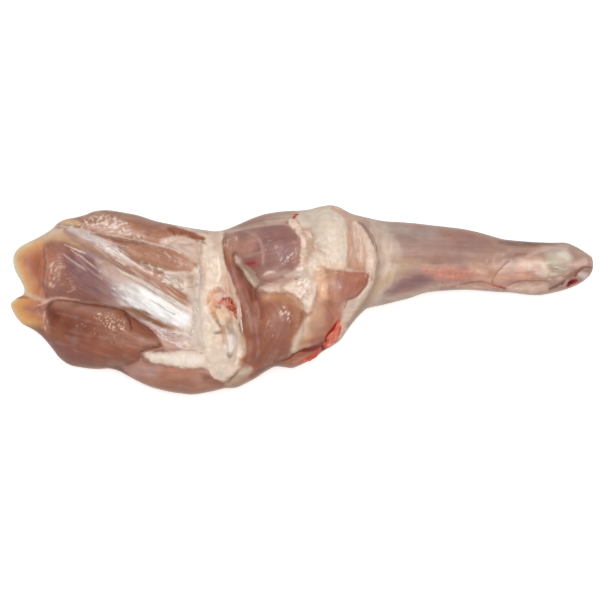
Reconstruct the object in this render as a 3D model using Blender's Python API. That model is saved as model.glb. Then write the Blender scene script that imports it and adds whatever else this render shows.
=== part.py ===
"""A raw suckling lamb shoulder on the bone, lying on its outer side with the inner side up.

It is one piece: the shoulder blade with its gristle rim at -X, the joint and the upper arm in
the middle, and the fore shank at +X, under one unbroken skin of muscle, fat and membrane.
Blender units are metres. The shape tables below are millimetres of a shoulder 360 mm long and
54 mm high, and the two driving dimensions scale them.
"""

import bmesh
import bpy
import numpy as np
from mathutils import Vector
from mathutils.geometry import delaunay_2d_cdt

# Driving dimensions
SHOULDER_LENGTH = 0.360
ARM_HEIGHT = 0.054

PLAN_UNIT = SHOULDER_LENGTH / 360
HEIGHT_UNIT = ARM_HEIGHT / 54

# Mesh fineness: spacing of the plan before thinning, insets of the rings of points that follow the
# outline where the surface turns over, and the facets left after thinning
PLAN_STEP = 1.5
RIM_STEP = 2.2
RIM_INSETS = (0.3, 1.2, 2.6)
MOST_TRIANGLES = 10600

MEAT_COLOUR = (0.52, 0.27, 0.21, 1.0)
MEAT_ROUGHNESS = 0.38

# Outline seen from above, as x, y, clockwise in four runs. Each starts where the one before ends.
BLADE_END = [
    (-157, -26), (-164, -19.5), (-173, -15.1), (-179.2, -7), (-179.8, -2), (-173.3, 2.8), (-171.7, 7),
    (-175.6, 14), (-178.8, 23), (-175.5, 31.5), (-165, 37.6),
]
FAR_EDGE = [
    (-165, 37.6), (-155, 43.4), (-148, 49), (-135, 52.3), (-121, 55.3), (-98, 51.8), (-74, 46),
    (-53, 43), (-38, 46.8), (-20, 53), (3, 55), (17, 57.8), (33, 52), (52, 48.2), (90, 44.8), (114, 40.3),
    (126, 37.2), (145, 35.5), (163.5, 35.2), (172, 31.5),
]
KNUCKLE_END = [(172, 31.5), (178.6, 27), (180, 20.5), (177, 14), (168, 8.3)]
NEAR_EDGE = [
    (168, 8.3), (147, 3.1), (120, 5), (96, 6.2), (74, 3.6), (52, -2.8), (39.5, -5.8), (31, -15.1),
    (20, -28.2), (2, -39.2), (-9, -41.4), (-17, -41.2), (-33, -50.8), (-50, -55), (-68, -58.2), (-88, -54.8),
    (-101, -49.8), (-115, -42.9), (-132, -42.5), (-148, -37.7), (-157, -26),
]

# Along the length: x, height of the widest line, width of the rounding above and below it,
# height of the plain body's upper side and of its underside.
STATIONS = [
    (-180, 5.5, 6, 5, 9, 0.6),
    (-165, 7.0, 8, 7, 13, 1.2),
    (-150, 9.5, 11, 10, 18, 2.2),
    (-130, 12.5, 14, 13, 23, 3.4),
    (-100, 15.0, 16, 15, 29, 4.2),
    (-70, 17.5, 17, 17, 34, 4.6),
    (-40, 20.0, 18, 18, 39, 4.8),
    (-10, 22.0, 19, 19, 43, 4.8),
    (20, 23.0, 20, 20, 44, 4.6),
    (42, 22.5, 23, 20, 41, 3.6),
    (60, 21.5, 23, 21, 38, 2.6),
    (80, 20.0, 21, 20, 36, 3.0),
    (105, 18.0, 19, 18, 33, 3.4),
    (130, 16.0, 16, 15, 30, 2.8),
    (150, 15.0, 15, 14, 29, 1.8),
    (166, 14.0, 13, 12, 27, 1.5),
    (180, 12.5, 8, 8, 21, 3.0),
]

# Muscle bellies, fat and tendons of the upper side. A spine point is x, y, half width and the
# height of its crest. The drop is how far the surface falls from the crest to the belly's edge.
BELLIES = {
    "gristle_rim": (2.5, [(-172, 14, 9, 11.5), (-168, 24, 10, 13), (-160, 33, 8, 15.5)]),
    "inner_blade_muscle": (5, [(-147, 18, 15, 20.5), (-136, 16, 17, 24.5), (-122, 12, 15, 27),
                               (-110, 7, 9, 28)]),
    "silver_band": (2, [(-119, 16, 6, 28.5), (-104, 8, 9, 30.5), (-90, -1, 10, 33), (-75, -9, 11, 36),
                        (-62, -14, 10, 39.5)]),
    "blade_cord": (1.5, [(-153, 41.5, 4, 17.5), (-138, 41, 5, 24), (-122, 35.5, 5.5, 29),
                         (-108, 26, 5, 32), (-94, 15, 4.5, 34), (-80, 4, 4, 36.3), (-67, -6, 4, 38.6)]),
    "far_edge_muscle": (5, [(-146, 46, 4, 16), (-130, 48, 7, 28), (-110, 45.5, 9, 36), (-90, 42, 9, 39),
                            (-72, 39, 6, 39.5), (-60, 38, 4, 38.5)]),
    "lens_muscle": (5, [(-112, 34, 3, 33), (-98, 29.5, 7, 37.5), (-84, 25.5, 9, 40.5), (-71, 21.5, 8.5, 42),
                        (-62, 18, 5, 41.5)]),
    "lower_flap": (9, [(-172, -5, 7, 10.5), (-161, -9, 11, 16.5), (-148, -17, 17, 24), (-130, -21, 20, 31.5),
                       (-112, -23, 18, 35), (-98, -25, 11, 36), (-88, -26, 4, 36)]),
    "fat_wedge": (3.5, [(-93, -34.5, 3.5, 33), (-80, -35.5, 5, 36), (-64, -35, 7, 40), (-52, -32, 9, 43)]),
    "lower_belly": (7, [(-104, -42, 6, 27), (-88, -45, 10, 32), (-70, -46, 11, 36), (-54, -44, 10, 38.5),
                        (-42, -44, 7, 37)]),
    "fat_band": (3, [(-53, 37, 7, 40), (-53, 22, 8, 44), (-53, 4, 8, 46.5), (-51, -14, 9, 47.5),
                     (-49, -30, 9, 45.5), (-47, -42, 7, 40)]),
    "slit_muscle": (4, [(-45, 34, 3, 42.5), (-41, 20, 4.5, 46), (-36, 4, 5.5, 49), (-31, -12, 6, 50),
                        (-29, -28, 6, 47), (-31, -39, 5, 40)]),
    "slit_bridge": (2, [(-29, -4, 4, 48.4), (-27, -14, 4.5, 48.8), (-27, -27, 4.5, 46), (-28, -36, 4, 41)]),
    "arm_dome": (8, [(-38, 34, 9, 45), (-27, 31, 15, 51.5), (-14, 28, 18, 54.5), (-4, 27, 14, 53.5)]),
    "arm_far_roll": (4, [(-44, 41.5, 3, 37), (-30, 45.5, 5, 43), (-14, 49, 5, 46), (0, 49, 6, 47)]),
    "lower_dome": (8, [(-19, 1, 10, 50.5), (-13, -9, 14, 54), (-14, -23, 14, 51), (-20, -34, 9, 44)]),
    "fat_cap": (5, [(6, 47, 8, 46.5), (14, 40, 14, 51.5), (17, 28, 14, 53), (10, 21, 9, 51)]),
    "elbow_patch": (4, [(14, 7, 8, 51), (24, 8, 10, 52), (33, 11, 7, 49)]),
    "elbow_flesh": (7, [(7, -3, 8, 50.5), (10, -14, 10, 47.5), (10, -25, 8, 40)]),
    "near_lip": (3.5, [(-7, -36, 4, 34.5), (4, -33, 4.5, 36), (13, -28.5, 3.5, 36)]),
    "collar": (3.5, [(33, 48, 3.5, 42), (39.5, 39, 4, 46), (42.5, 28, 4.5, 48), (41.5, 16, 4, 48),
                     (36.5, 5, 4, 46), (30, -7, 4, 41.5), (23.5, -18, 4, 35)]),
    "shank_upper": (12, [(50, 32, 16, 42), (70, 32.5, 15, 40.5), (95, 31, 13, 37.5), (116, 27.5, 11, 33.5),
                         (128, 25, 9, 31)]),
    "shank_lower": (10, [(52, 14, 17, 40.5), (72, 16, 13, 38), (95, 17, 11, 35.5), (118, 15.5, 10, 32),
                         (135, 15, 9, 30)]),
    "knuckle": (6, [(140, 24, 8, 30), (152, 25, 9, 32), (163, 24.5, 8, 30.5), (173, 23, 6, 25)]),
    "knuckle_near": (6, [(136, 13, 7, 28), (148, 12.5, 8, 29.5), (160, 13.5, 7, 27.5)]),
}
BLEND = 1.3
SIDE_SLOPE = 1.1

# Hollows pressed into the upper side: x, y, radius and depth.
HOLLOWS = {
    "blood_pit": (-45, -2, 5.5, 3.2),
    "tendon_pit": (-40.5, -16, 4, 2),
    "dome_gap": (-33, 17, 4, 3),
    "knuckle_wound": (165, 10.5, 3.5, 2.5),
}

# Bellies of the outer side, on which the shoulder lies, written the same way. Heights below 0 are
# pressed flat on the table.
OUTER_BELLIES = {
    "supraspinatus": (6, [(-156, 33, 7, 0), (-130, 37, 12, -1), (-98, 35, 12, -1.2), (-70, 28, 8, -0.8)]),
    "infraspinatus": (6, [(-170, 14, 7, 0.2), (-145, 14, 13, -1), (-112, 10, 15, -1.6), (-80, 8, 12, -1.2),
                          (-58, 10, 6, 0)]),
    "teres": (5, [(-168, -7, 6, 0), (-146, -16, 11, -1), (-118, -21, 11, -1), (-92, -19, 7, 0)]),
    "triceps_long": (8, [(-114, -36, 6, 0), (-88, -37, 15, -1.6), (-56, -33, 19, -2.4), (-22, -21, 16, -2),
                         (8, -12, 9, 0)]),
    "triceps_side": (7, [(-66, -6, 6, 0.4), (-42, 0, 12, -1.4), (-14, 3, 13, -1.8), (14, 0, 9, -0.6),
                         (30, 4, 5, 0.6)]),
    "shoulder_point": (8, [(-56, 28, 9, -0.6), (-34, 29, 14, -2), (-10, 35, 14, -2), (14, 36, 12, -1.2),
                           (32, 30, 8, 0.4)]),
    "fore_arm": (6, [(34, 20, 14, 2.2), (56, 24, 17, 1.2), (84, 26, 14, 1.6), (110, 25, 11, 2.2)]),
}


def through(points, samples):
    """Even samples of a smooth curve through rows of points, whatever number of columns they have."""
    points = np.array(points, float)
    padded = np.concatenate([[2 * points[0] - points[1]], points, [2 * points[-1] - points[-2]]])
    step = np.linspace(0, len(points) - 1, 24 * len(points))
    i = np.minimum(step.astype(int), len(points) - 2)
    t = (step - i)[:, None]
    a, b, c, d = (padded[i + k] for k in range(4))
    fine = b + 0.5 * t * (c - a + t * (2 * a - 5 * b + 4 * c - d + t * (3 * (b - c) + d - a)))
    run = np.concatenate([[0], np.cumsum(np.linalg.norm(np.diff(fine[:, :2], axis=0), axis=1))])
    even = np.linspace(0, run[-1], samples)
    return np.column_stack([np.interp(even, run, column) for column in fine.T])


def station(x, column):
    """One column of the stations at each x, smoothly."""
    curve = through(STATIONS, 400)
    return np.interp(x, curve[:, 0], curve[:, column])


def outline_loop(step):
    """The outline as a closed clockwise loop of points about step apart, the last joining the first."""
    corners = [*BLADE_END, *FAR_EDGE[1:], *KNUCKLE_END[1:], *NEAR_EDGE[1:-1]]
    closed = [corners[-1], *corners, corners[0], corners[1]]
    fine = through(closed, 4000)
    first = np.argmin(np.hypot(*(fine[:1000] - corners[0]).T))
    last = 3000 + np.argmin(np.hypot(*(fine[3000:] - corners[0]).T))
    lap = fine[first : last + 1]
    run = np.concatenate([[0], np.cumsum(np.linalg.norm(np.diff(lap, axis=0), axis=1))])
    even = np.linspace(0, run[-1], int(run[-1] / step) + 1)[:-1]
    return np.column_stack([np.interp(even, run, lap[:, k]) for k in (0, 1)])


def moved_in(loop, inset):
    """The loop moved inwards. A clockwise loop has its inside on the right."""
    ahead = np.roll(loop, -1, axis=0) - np.roll(loop, 1, axis=0)
    ahead /= np.linalg.norm(ahead, axis=1)[:, None]
    return loop + inset * np.column_stack([ahead[:, 1], -ahead[:, 0]])


def inside(points, loop):
    """Whether each point lies inside the loop, by counting crossings of a line to +X."""
    x, y = points[:, :1], points[:, 1:]
    start, end = loop, np.roll(loop, -1, axis=0)
    straddles = (start[:, 1] > y) != (end[:, 1] > y)
    rise = np.where(start[:, 1] == end[:, 1], 1, end[:, 1] - start[:, 1])
    crossing = start[:, 0] + (y - start[:, 1]) * (end[:, 0] - start[:, 0]) / rise
    return (straddles & (crossing > x)).sum(axis=1) % 2 == 1


def plan_points():
    """Points of the plan, the outline's own first, and how many of them are the outline's."""
    loop = outline_loop(RIM_STEP)
    rings = [loop, *(moved_in(loop, inset) for inset in RIM_INSETS)]
    low, high = loop.min(axis=0), loop.max(axis=0)
    rows = np.arange(low[1], high[1], PLAN_STEP * np.sqrt(0.75))
    shifts = [(k % 2) * PLAN_STEP / 2 for k in range(len(rows))]
    field = [(x, y) for y, shift in zip(rows, shifts) for x in np.arange(low[0] + shift, high[0], PLAN_STEP)]
    field = np.array(field)
    field = field[inside(field, loop)]
    gap, _ = line_distance(field[:, 0], field[:, 1], np.vstack([loop, loop[:1]]))
    field = field[gap > RIM_INSETS[-1] + PLAN_STEP / 2]
    return np.vstack([*rings, field]), len(loop)


def line_distance(x, y, line):
    """Distance of each point from a line of points, and where along it the nearest place is."""
    nearest = np.full(x.shape, 1e9)
    place = np.zeros(x.shape)
    for i, (start, end) in enumerate(zip(line[:-1], line[1:])):
        run = end[:2] - start[:2]
        t = ((x - start[0]) * run[0] + (y - start[1]) * run[1]) / max(run @ run, 1e-12)
        t = np.clip(t, 0, 1)
        gap = np.hypot(x - start[0] - t * run[0], y - start[1] - t * run[1])
        closer = gap < nearest
        nearest = np.where(closer, gap, nearest)
        place = np.where(closer, i + t, place)
    return nearest, place


def rounded(depth, width):
    """0 at the outline and 1 from width inwards, as a quarter circle."""
    t = np.clip(depth / width, 0, 1)
    return np.sqrt(1 - (1 - t) ** 2)


def smooth_max(a, b, blend):
    """The larger of two heights, with the crease between them rounded over about blend."""
    mix = np.clip(0.5 + 0.5 * (a - b) / blend, 0, 1)
    return b + (a - b) * mix + blend * mix * (1 - mix)


def with_bellies(height, x, y, bellies):
    """The height of a plain body once the bellies stand out of it."""
    for drop, spine in bellies.values():
        line = through(spine, 26)
        gap, place = line_distance(x, y, line)
        stops = np.arange(len(line))
        half_width = np.interp(place, stops, line[:, 2])
        crest = np.interp(place, stops, line[:, 3])
        fall = drop * (1 - np.sqrt(np.clip(1 - (gap / half_width) ** 2, 0, 1)))
        fall += SIDE_SLOPE * np.clip(gap - half_width, 0, None)
        height = smooth_max(height, crest - fall, BLEND)
    return height


def upper_height(x, y):
    """Height of the upper side before its edge is rounded."""
    height = with_bellies(station(x, 4), x, y, BELLIES)
    for cx, cy, radius, depth in HOLLOWS.values():
        height = height - depth * np.exp(-((x - cx) ** 2 + (y - cy) ** 2) / radius**2)
    return height


def under_height(x, y):
    """Height of the underside above the table before its edge is rounded."""
    upturned = {}
    for name, (drop, spine) in OUTER_BELLIES.items():
        upturned[name] = (drop, [(sx, sy, half_width, -crest) for sx, sy, half_width, crest in spine])
    return np.clip(-with_bellies(-station(x, 5), x, y, upturned), 0, None)


def surfaces(x, y, depth):
    """Heights of the upper side and of the underside at each x, y that lies depth inside the outline."""
    widest = station(x, 1)
    top = widest + (upper_height(x, y) - widest) * rounded(depth, station(x, 2))
    under = widest + (under_height(x, y) - widest) * rounded(depth, station(x, 3))
    return top, under


def build_shoulder():
    """The meat as one closed mesh: two sheets of the same plan that share the outline."""
    points, rim = plan_points()
    x, y = points.T
    depth, _ = line_distance(x, y, np.vstack([points[:rim], points[:1]]))
    depth[:rim] = 0
    top, under = surfaces(x, y, depth)
    plan = delaunay_2d_cdt([Vector(p) for p in points], [], [tuple(range(rim))[::-1]], 1, 1e-6)
    faces = [face if corner_turn(points, face) > 0 else face[::-1] for face in plan[2]]
    mesh = bmesh.new()
    scale = (PLAN_UNIT, PLAN_UNIT, HEIGHT_UNIT)
    upper = [mesh.verts.new(place) for place in np.column_stack([x, y, top]) * scale]
    lower = [mesh.verts.new(place) for place in np.column_stack([x, y, under])[rim:] * scale]
    lower = upper[:rim] + lower
    for face in faces:
        mesh.faces.new([upper[i] for i in face])
        mesh.faces.new([lower[i] for i in reversed(face)])
    data = bpy.data.meshes.new("lamb_shoulder")
    mesh.to_mesh(data)
    mesh.free()
    data.shade_smooth()
    shoulder = bpy.data.objects.new("lamb_shoulder", data)
    bpy.context.scene.collection.objects.link(shoulder)
    thin = shoulder.modifiers.new("even_facets", "DECIMATE")
    thin.ratio = MOST_TRIANGLES / len(data.polygons)
    return shoulder


def corner_turn(points, face):
    """Positive where a triangle of the plan runs anticlockwise."""
    a, b, c = (points[i] for i in face)
    return (b[0] - a[0]) * (c[1] - a[1]) - (b[1] - a[1]) * (c[0] - a[0])


def meat_material():
    """Pale raw meat of a milk-fed lamb, wet on its surface."""
    material = bpy.data.materials.new("raw_lamb")
    material.use_nodes = True
    shader = material.node_tree.nodes["Principled BSDF"]
    shader.inputs["Base Color"].default_value = MEAT_COLOUR
    shader.inputs["Roughness"].default_value = MEAT_ROUGHNESS
    shader.inputs["Metallic"].default_value = 0.0
    return material


def main():
    for old in list(bpy.data.objects):
        bpy.data.objects.remove(old)
    shoulder = build_shoulder()
    shoulder.data.materials.append(meat_material())


main()
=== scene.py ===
import math
import random
import bpy
import numpy as np
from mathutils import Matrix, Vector, noise
from mathutils.bvhtree import BVHTree
from mathutils.geometry import delaunay_2d_cdt


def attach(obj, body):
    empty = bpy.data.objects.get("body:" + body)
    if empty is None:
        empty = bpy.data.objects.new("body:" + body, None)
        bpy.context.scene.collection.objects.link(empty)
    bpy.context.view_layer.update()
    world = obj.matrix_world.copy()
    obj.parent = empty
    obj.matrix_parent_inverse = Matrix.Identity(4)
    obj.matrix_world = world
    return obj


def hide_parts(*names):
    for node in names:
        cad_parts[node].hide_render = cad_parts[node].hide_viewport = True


# A raw suckling lamb shoulder, inner side up. Shape tables are in millimetres.

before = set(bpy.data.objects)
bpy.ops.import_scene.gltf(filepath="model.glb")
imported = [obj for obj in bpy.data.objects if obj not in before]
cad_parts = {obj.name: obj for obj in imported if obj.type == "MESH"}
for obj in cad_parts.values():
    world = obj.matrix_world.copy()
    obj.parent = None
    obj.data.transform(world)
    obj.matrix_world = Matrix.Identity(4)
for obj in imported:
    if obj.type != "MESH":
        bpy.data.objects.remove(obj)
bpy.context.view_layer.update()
mm = 0.001
filmSheen = np.array([0.018, 0.026, 0.03])  # what the wet film's white reflection adds to the tissue colours

sheetSettings = {
    "rimStep": 0.78,            # spacing of points along the outline
    "topInsets": (0.03, 0.12, 0.28, 0.5, 0.8, 1.15, 1.6, 2.1),
    "topStep": 0.76,
    "underInsets": (0.1, 0.4, 0.9, 1.6, 2.5),
    "underStep": 1.5,
}

# outline seen from above, clockwise
outline = [
    (-157, -26), (-161, -21.8), (-166, -18.2), (-172, -15.2), (-176, -11.3), (-179, -6.3), (-180, -2.3),
    (-176.5, 1), (-172.4, 3.2), (-171.4, 6.5), (-173.4, 11.5), (-176.4, 16.5), (-178.2, 22), (-178.2, 27),
    (-176.2, 31), (-172, 34.3), (-166, 37.2), (-160, 40.2), (-154, 44), (-150, 47.8), (-145, 50), (-140, 50.8),
    (-133, 52.6), (-128, 54.6), (-122, 55.4), (-116, 55.1), (-108, 53.7), (-100, 52.1), (-90, 48.8),
    (-80, 46.6), (-70, 44.7), (-60, 43.1), (-52, 42.2), (-45, 43.6), (-38, 46.5), (-30, 50), (-22, 52.6),
    (-12, 54.2), (0, 54.8), (6, 55.6), (12, 57.2), (18, 58), (23, 57), (27, 54.8), (32, 52.5), (40, 50.6),
    (51, 48.3), (60, 47.8), (70, 47), (80, 45.9), (90, 44.8), (100, 43.5), (110, 41.4), (118, 39.1),
    (125, 37.3), (135, 36.3), (145, 35.6), (155, 35.3), (163, 35.3), (168, 33.5), (173, 30.9), (177.4, 28),
    (179.6, 25.8), (180.1, 20), (178.6, 16), (175.6, 12.8), (171, 9.8), (165, 7.2), (158, 5.1), (150, 3.4),
    (145, 3), (138, 3.4), (130, 4.5), (120, 5), (110, 5.8), (100, 6.3), (88, 5.7), (80, 5), (74, 3.8), (66, 1),
    (58, -1), (50, -3), (41, -5), (37, -8), (32, -13.5), (28, -19), (24, -24.5), (19, -28.2), (14, -31),
    (8, -35.5), (2, -38.7), (-5, -41.6), (-10, -41.2), (-16, -40.9), (-22, -44), (-28, -48), (-34, -51.2),
    (-40, -53.8), (-47, -54.2), (-55, -56.2), (-66, -58), (-74, -57.4), (-82, -56.2), (-92, -53.6),
    (-100, -50.2), (-106, -47), (-112, -43.8), (-118, -42.3), (-126, -42.6), (-136, -41.6), (-143, -40),
    (-149, -36), (-153, -31),
]

# x, height of the widest line, width of the rounding above and below it, plain body over and under the bellies
stations = [
    (-180, 5.5, 6, 5, 9, 0.6), (-165, 7, 8, 7, 13, 1.2), (-150, 9.5, 11, 10, 18, 2.2),
    (-130, 12.5, 14, 13, 23, 3.4), (-100, 15, 16, 15, 29, 4.2), (-70, 17.5, 17, 17, 34, 4.6),
    (-40, 20, 18, 18, 39, 4.8), (-10, 22, 19, 19, 43, 4.8), (20, 23, 20, 20, 44, 4.6),
    (42, 22.5, 23, 20, 41, 3.6), (60, 21.5, 23, 21, 38, 2.6), (80, 20, 21, 20, 36, 3),
    (105, 18, 19, 18, 33, 3.4), (130, 16, 16, 15, 30, 2.8), (150, 15, 15, 14, 29, 1.8),
    (166, 14, 13, 12, 27, 1.5), (180, 12.5, 8, 8, 21, 3),
]

# name: (fall from crest to edge, [(x, y, half width, crest height)])
bellies = {
    "gristleRim": (2.5, [(-172, 14, 9, 11.5), (-168, 24, 10, 13), (-160, 33, 8, 15.5)]),
    "innerBlade": (5, [(-147, 18, 15, 20.5), (-136, 16, 17, 24.5), (-122, 12, 15, 27), (-110, 7, 9, 28)]),
    "silverBand": (2, [(-119, 16, 6, 28.5), (-104, 8, 9, 30.5), (-90, -1, 10, 33), (-75, -9, 11, 36),
        (-62, -14, 10, 39.5)]),
    "bladeCord": (1.5, [(-153, 41.5, 4, 17.5), (-138, 41, 5, 24), (-122, 35.5, 5.5, 29), (-108, 26, 5, 32),
        (-94, 15, 4.5, 34), (-80, 4, 4, 36.3), (-67, -6, 4, 38.6)]),
    "farEdge": (5, [(-146, 46, 4, 16), (-130, 48, 7, 28), (-110, 45.5, 9, 36), (-90, 42, 9, 39),
        (-72, 39, 6, 39.5), (-60, 38, 4, 38.5)]),
    "lens": (5, [(-112, 34, 3, 33), (-98, 29.5, 7, 37.5), (-84, 25.5, 9, 40.5), (-71, 21.5, 8.5, 42),
        (-62, 18, 5, 41.5)]),
    "lowerFlap": (9, [(-172, -5, 7, 10.5), (-161, -9, 11, 16.5), (-148, -17, 17, 24), (-130, -21, 20, 31.5),
        (-112, -23, 18, 35), (-98, -25, 11, 36), (-88, -26, 4, 36)]),
    "fatWedge": (3.5, [(-93, -34.5, 3.5, 33), (-80, -35.5, 5, 36), (-64, -35, 7, 40), (-52, -32, 9, 43)]),
    "lowerBelly": (7, [(-104, -42, 6, 27), (-88, -45, 10, 32), (-70, -46, 11, 36), (-54, -44, 10, 38.5),
        (-42, -44, 7, 37)]),
    "fatBand": (3, [(-53, 37, 7, 40), (-53, 22, 8, 44), (-53, 4, 8, 46.5), (-51, -14, 9, 47.5),
        (-49, -30, 9, 45.5), (-47, -42, 7, 40)]),
    "slit": (4, [(-45, 34, 3, 42.5), (-41, 20, 4.5, 46), (-36, 4, 5.5, 49), (-31, -12, 6, 50),
        (-29, -28, 6, 47), (-31, -39, 5, 40)]),
    "slitBridge": (2, [(-29, -4, 4, 48.4), (-27, -14, 4.5, 48.8), (-27, -27, 4.5, 46), (-28, -36, 4, 41)]),
    "armDome": (8, [(-38, 34, 9, 45), (-27, 31, 15, 51.5), (-14, 28, 18, 54.5), (-4, 27, 14, 53.5)]),
    "armFarRoll": (4, [(-44, 41.5, 3, 37), (-30, 45.5, 5, 43), (-14, 49, 5, 46), (0, 49, 6, 47)]),
    "lowerDome": (8, [(-19, 1, 10, 50.5), (-13, -9, 14, 54), (-14, -23, 14, 51), (-20, -34, 9, 44)]),
    "fatCap": (5, [(6, 47, 8, 46.5), (14, 40, 14, 51.5), (17, 28, 14, 53), (10, 21, 9, 51)]),
    "elbowPatch": (4, [(14, 7, 8, 51), (24, 8, 10, 52), (33, 11, 7, 49)]),
    "elbowFlesh": (7, [(7, -3, 8, 50.5), (10, -14, 10, 47.5), (10, -25, 8, 40)]),
    "nearLip": (3.5, [(-7, -36, 4, 34.5), (4, -33, 4.5, 36), (13, -28.5, 3.5, 36)]),
    "collar": (3.5, [(33, 48, 3.5, 42), (39.5, 39, 4, 46), (42.5, 28, 4.5, 48), (41.5, 16, 4, 48),
        (36.5, 5, 4, 46), (30, -7, 4, 41.5), (23.5, -18, 4, 35)]),
    "shankUpper": (12, [(50, 32, 16, 42), (70, 32.5, 15, 40.5), (95, 31, 13, 37.5), (116, 27.5, 11, 33.5),
        (128, 25, 9, 31)]),
    "shankLower": (10, [(52, 14, 17, 40.5), (72, 16, 13, 38), (95, 17, 11, 35.5), (118, 15.5, 10, 32),
        (135, 15, 9, 30)]),
    "knuckle": (6, [(140, 24, 8, 30), (152, 25, 9, 32), (163, 24.5, 8, 30.5), (173, 23, 6, 25)]),
    "knuckleNear": (6, [(136, 13, 7, 28), (148, 12.5, 8, 29.5), (160, 13.5, 7, 27.5)]),
}
# the same for the muscles of the outer side, with heights over the table
outerBellies = {
    "supraspinatus": (6, [(-156, 33, 7, 0), (-130, 37, 12, -1), (-98, 35, 12, -1.2), (-70, 28, 8, -0.8)]),
    "infraspinatus": (6, [(-170, 14, 7, 0.2), (-145, 14, 13, -1), (-112, 10, 15, -1.6), (-80, 8, 12, -1.2),
        (-58, 10, 6, 0)]),
    "teres": (5, [(-168, -7, 6, 0), (-146, -16, 11, -1), (-118, -21, 11, -1), (-92, -19, 7, 0)]),
    "tricepsLong": (8, [(-114, -36, 6, 0), (-88, -37, 15, -1.6), (-56, -33, 19, -2.4), (-22, -21, 16, -2),
        (8, -12, 9, 0)]),
    "tricepsSide": (7, [(-66, -6, 6, 0.4), (-42, 0, 12, -1.4), (-14, 3, 13, -1.8), (14, 0, 9, -0.6),
        (30, 4, 5, 0.6)]),
    "shoulderPoint": (8, [(-56, 28, 9, -0.6), (-34, 29, 14, -2), (-10, 35, 14, -2), (14, 36, 12, -1.2),
        (32, 30, 8, 0.4)]),
    "foreArm": (6, [(34, 20, 14, 2.2), (56, 24, 17, 1.2), (84, 26, 14, 1.6), (110, 25, 11, 2.2)]),
}
outerTints = {
    "supraspinatus": "#B07E6E", "infraspinatus": "#B58A7C", "teres": "#A56F60", "tricepsLong": "#A87466",
    "tricepsSide": "#AE7C6C", "shoulderPoint": "#B38676", "foreArm": "#AA8579",
}
bellySettings = {
    "blend": 1.0,               # how softly a belly comes out of the body
    "sideSlope": 1.1,           # how steeply its sides fall away past its edge
    "boxMargin": 14,            # past this far from its widest place nothing of it shows
}
# x, y, radius, depth
hollows = [(-45, -2, 5.5, 3.2), (-40.5, -16, 4, 2), (-33, 17, 4, 3), (165, 10.5, 3.5, 2.5)]

# Tissue areas and bands of the upper side, in painting order. Soft is the width of the border in mm,
# cover how much hides what lies under it, lie the direction of the fibres in degrees, lift how far the
# tissue stands up, fray how ragged its border is, fade the two places between which it comes in.
muscle, fat, silver, gristle, blood = 0, 1, 2, 3, 4


def area(tint, soft, *edge, **more):
    return dict(tint=tint, soft=soft, edge=edge, **more)


def band(tint, soft, cover, *path, **more):
    # path with half widths
    return dict(tint=tint, soft=soft, cover=cover, path=path, **more)


def line(tint, cover, groove, *path, **more):
    # a crease, a cut edge, a strand or a stain; a negative groove is a ridge, and a dark line over a groove is
    # painted shade
    return dict(tint=tint, cover=cover, groove=groove, path=path, **more)


def strokes(tint, cover, lie, size, stretch, gate, *path, **more):
    # short strokes side by side: their lie in degrees, width in mm, length in widths, how rare they are
    return dict(tint=tint, cover=cover, lie=lie, size=size, stretch=stretch, gate=gate, path=path, **more)


# the blade's end and the dark muscle on the blade
bladeTissues = [
    area("#BD7E65", 2, (-190, -2), (-190, 50), (-158, 46), (-154, 36), (-154, 22), (-154, 8), (-155, 1),
        (-166, -1), lie=80),
    band("#AB6B50", 6, 0.75, (-162.4, 29, 2), (-161.6, 18, 3.6), (-161, 9, 2.6)),
    area("#94695D", 1.8, (-157.5, 36), (-147, 36), (-136, 34), (-127, 31), (-119, 27), (-113, 20), (-108, 8),
        (-104, -5), (-122, -3), (-136, -1), (-150, 2), (-157, 1), (-158.5, 9), (-157, 22), lift=0.4, lie=-33),
    band("#A47569", 8, 0.85, (-149, 34, 3), (-147, 22, 4), (-149, 9, 4)),
    band("#8C6565", 9, 1, (-137, 22, 7), (-129, 14, 9), (-120, 6, 7)),
    band("#AC7764", 5, 1, (-154.5, 30, 2), (-153, 18, 3), (-154, 6, 2)),
    band("#A58D8D", 8, 1, (-121, 18, 4), (-116, 8, 5), (-114, 0, 3)),
    band("#A5878D", 3, 1, (-134, 30, 1.5), (-127, 28, 2.8), (-121, 24, 2)),
    band("#C3A8A2", 4, 0.8, (-125, 24, 1.5), (-121, 20, 2.4), (-116, 15, 2)),
    band("#CDA888", 4.5, 1, (-167, 34, 2), (-160, 37, 3.4), (-152, 39.5, 4), (-143, 39, 4.2), (-135, 36, 3.6),
        (-127, 31.5, 2.4), (-120, 27.5, 1.5), kind=gristle),
    band("#A98872", 3, 1, (-134, 33.5, 1.2), (-125, 29.5, 1.6), (-116, 25, 1.2), (-108, 20, 1)),
    band("#DAC6B2", 4, 0.85, (-158, 38.5, 0.8), (-150, 41.5, 2), (-142, 42.5, 1.8), (-134, 41, 1.4),
        kind=silver),
    band("#DBCABA", 2.2, 0.8, (-166, 37, 1), (-158, 41.6, 1.4), (-150, 45.2, 1.4), (-143, 44.8, 1.2),
        (-136, 43, 1.2), kind=gristle),
]
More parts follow.
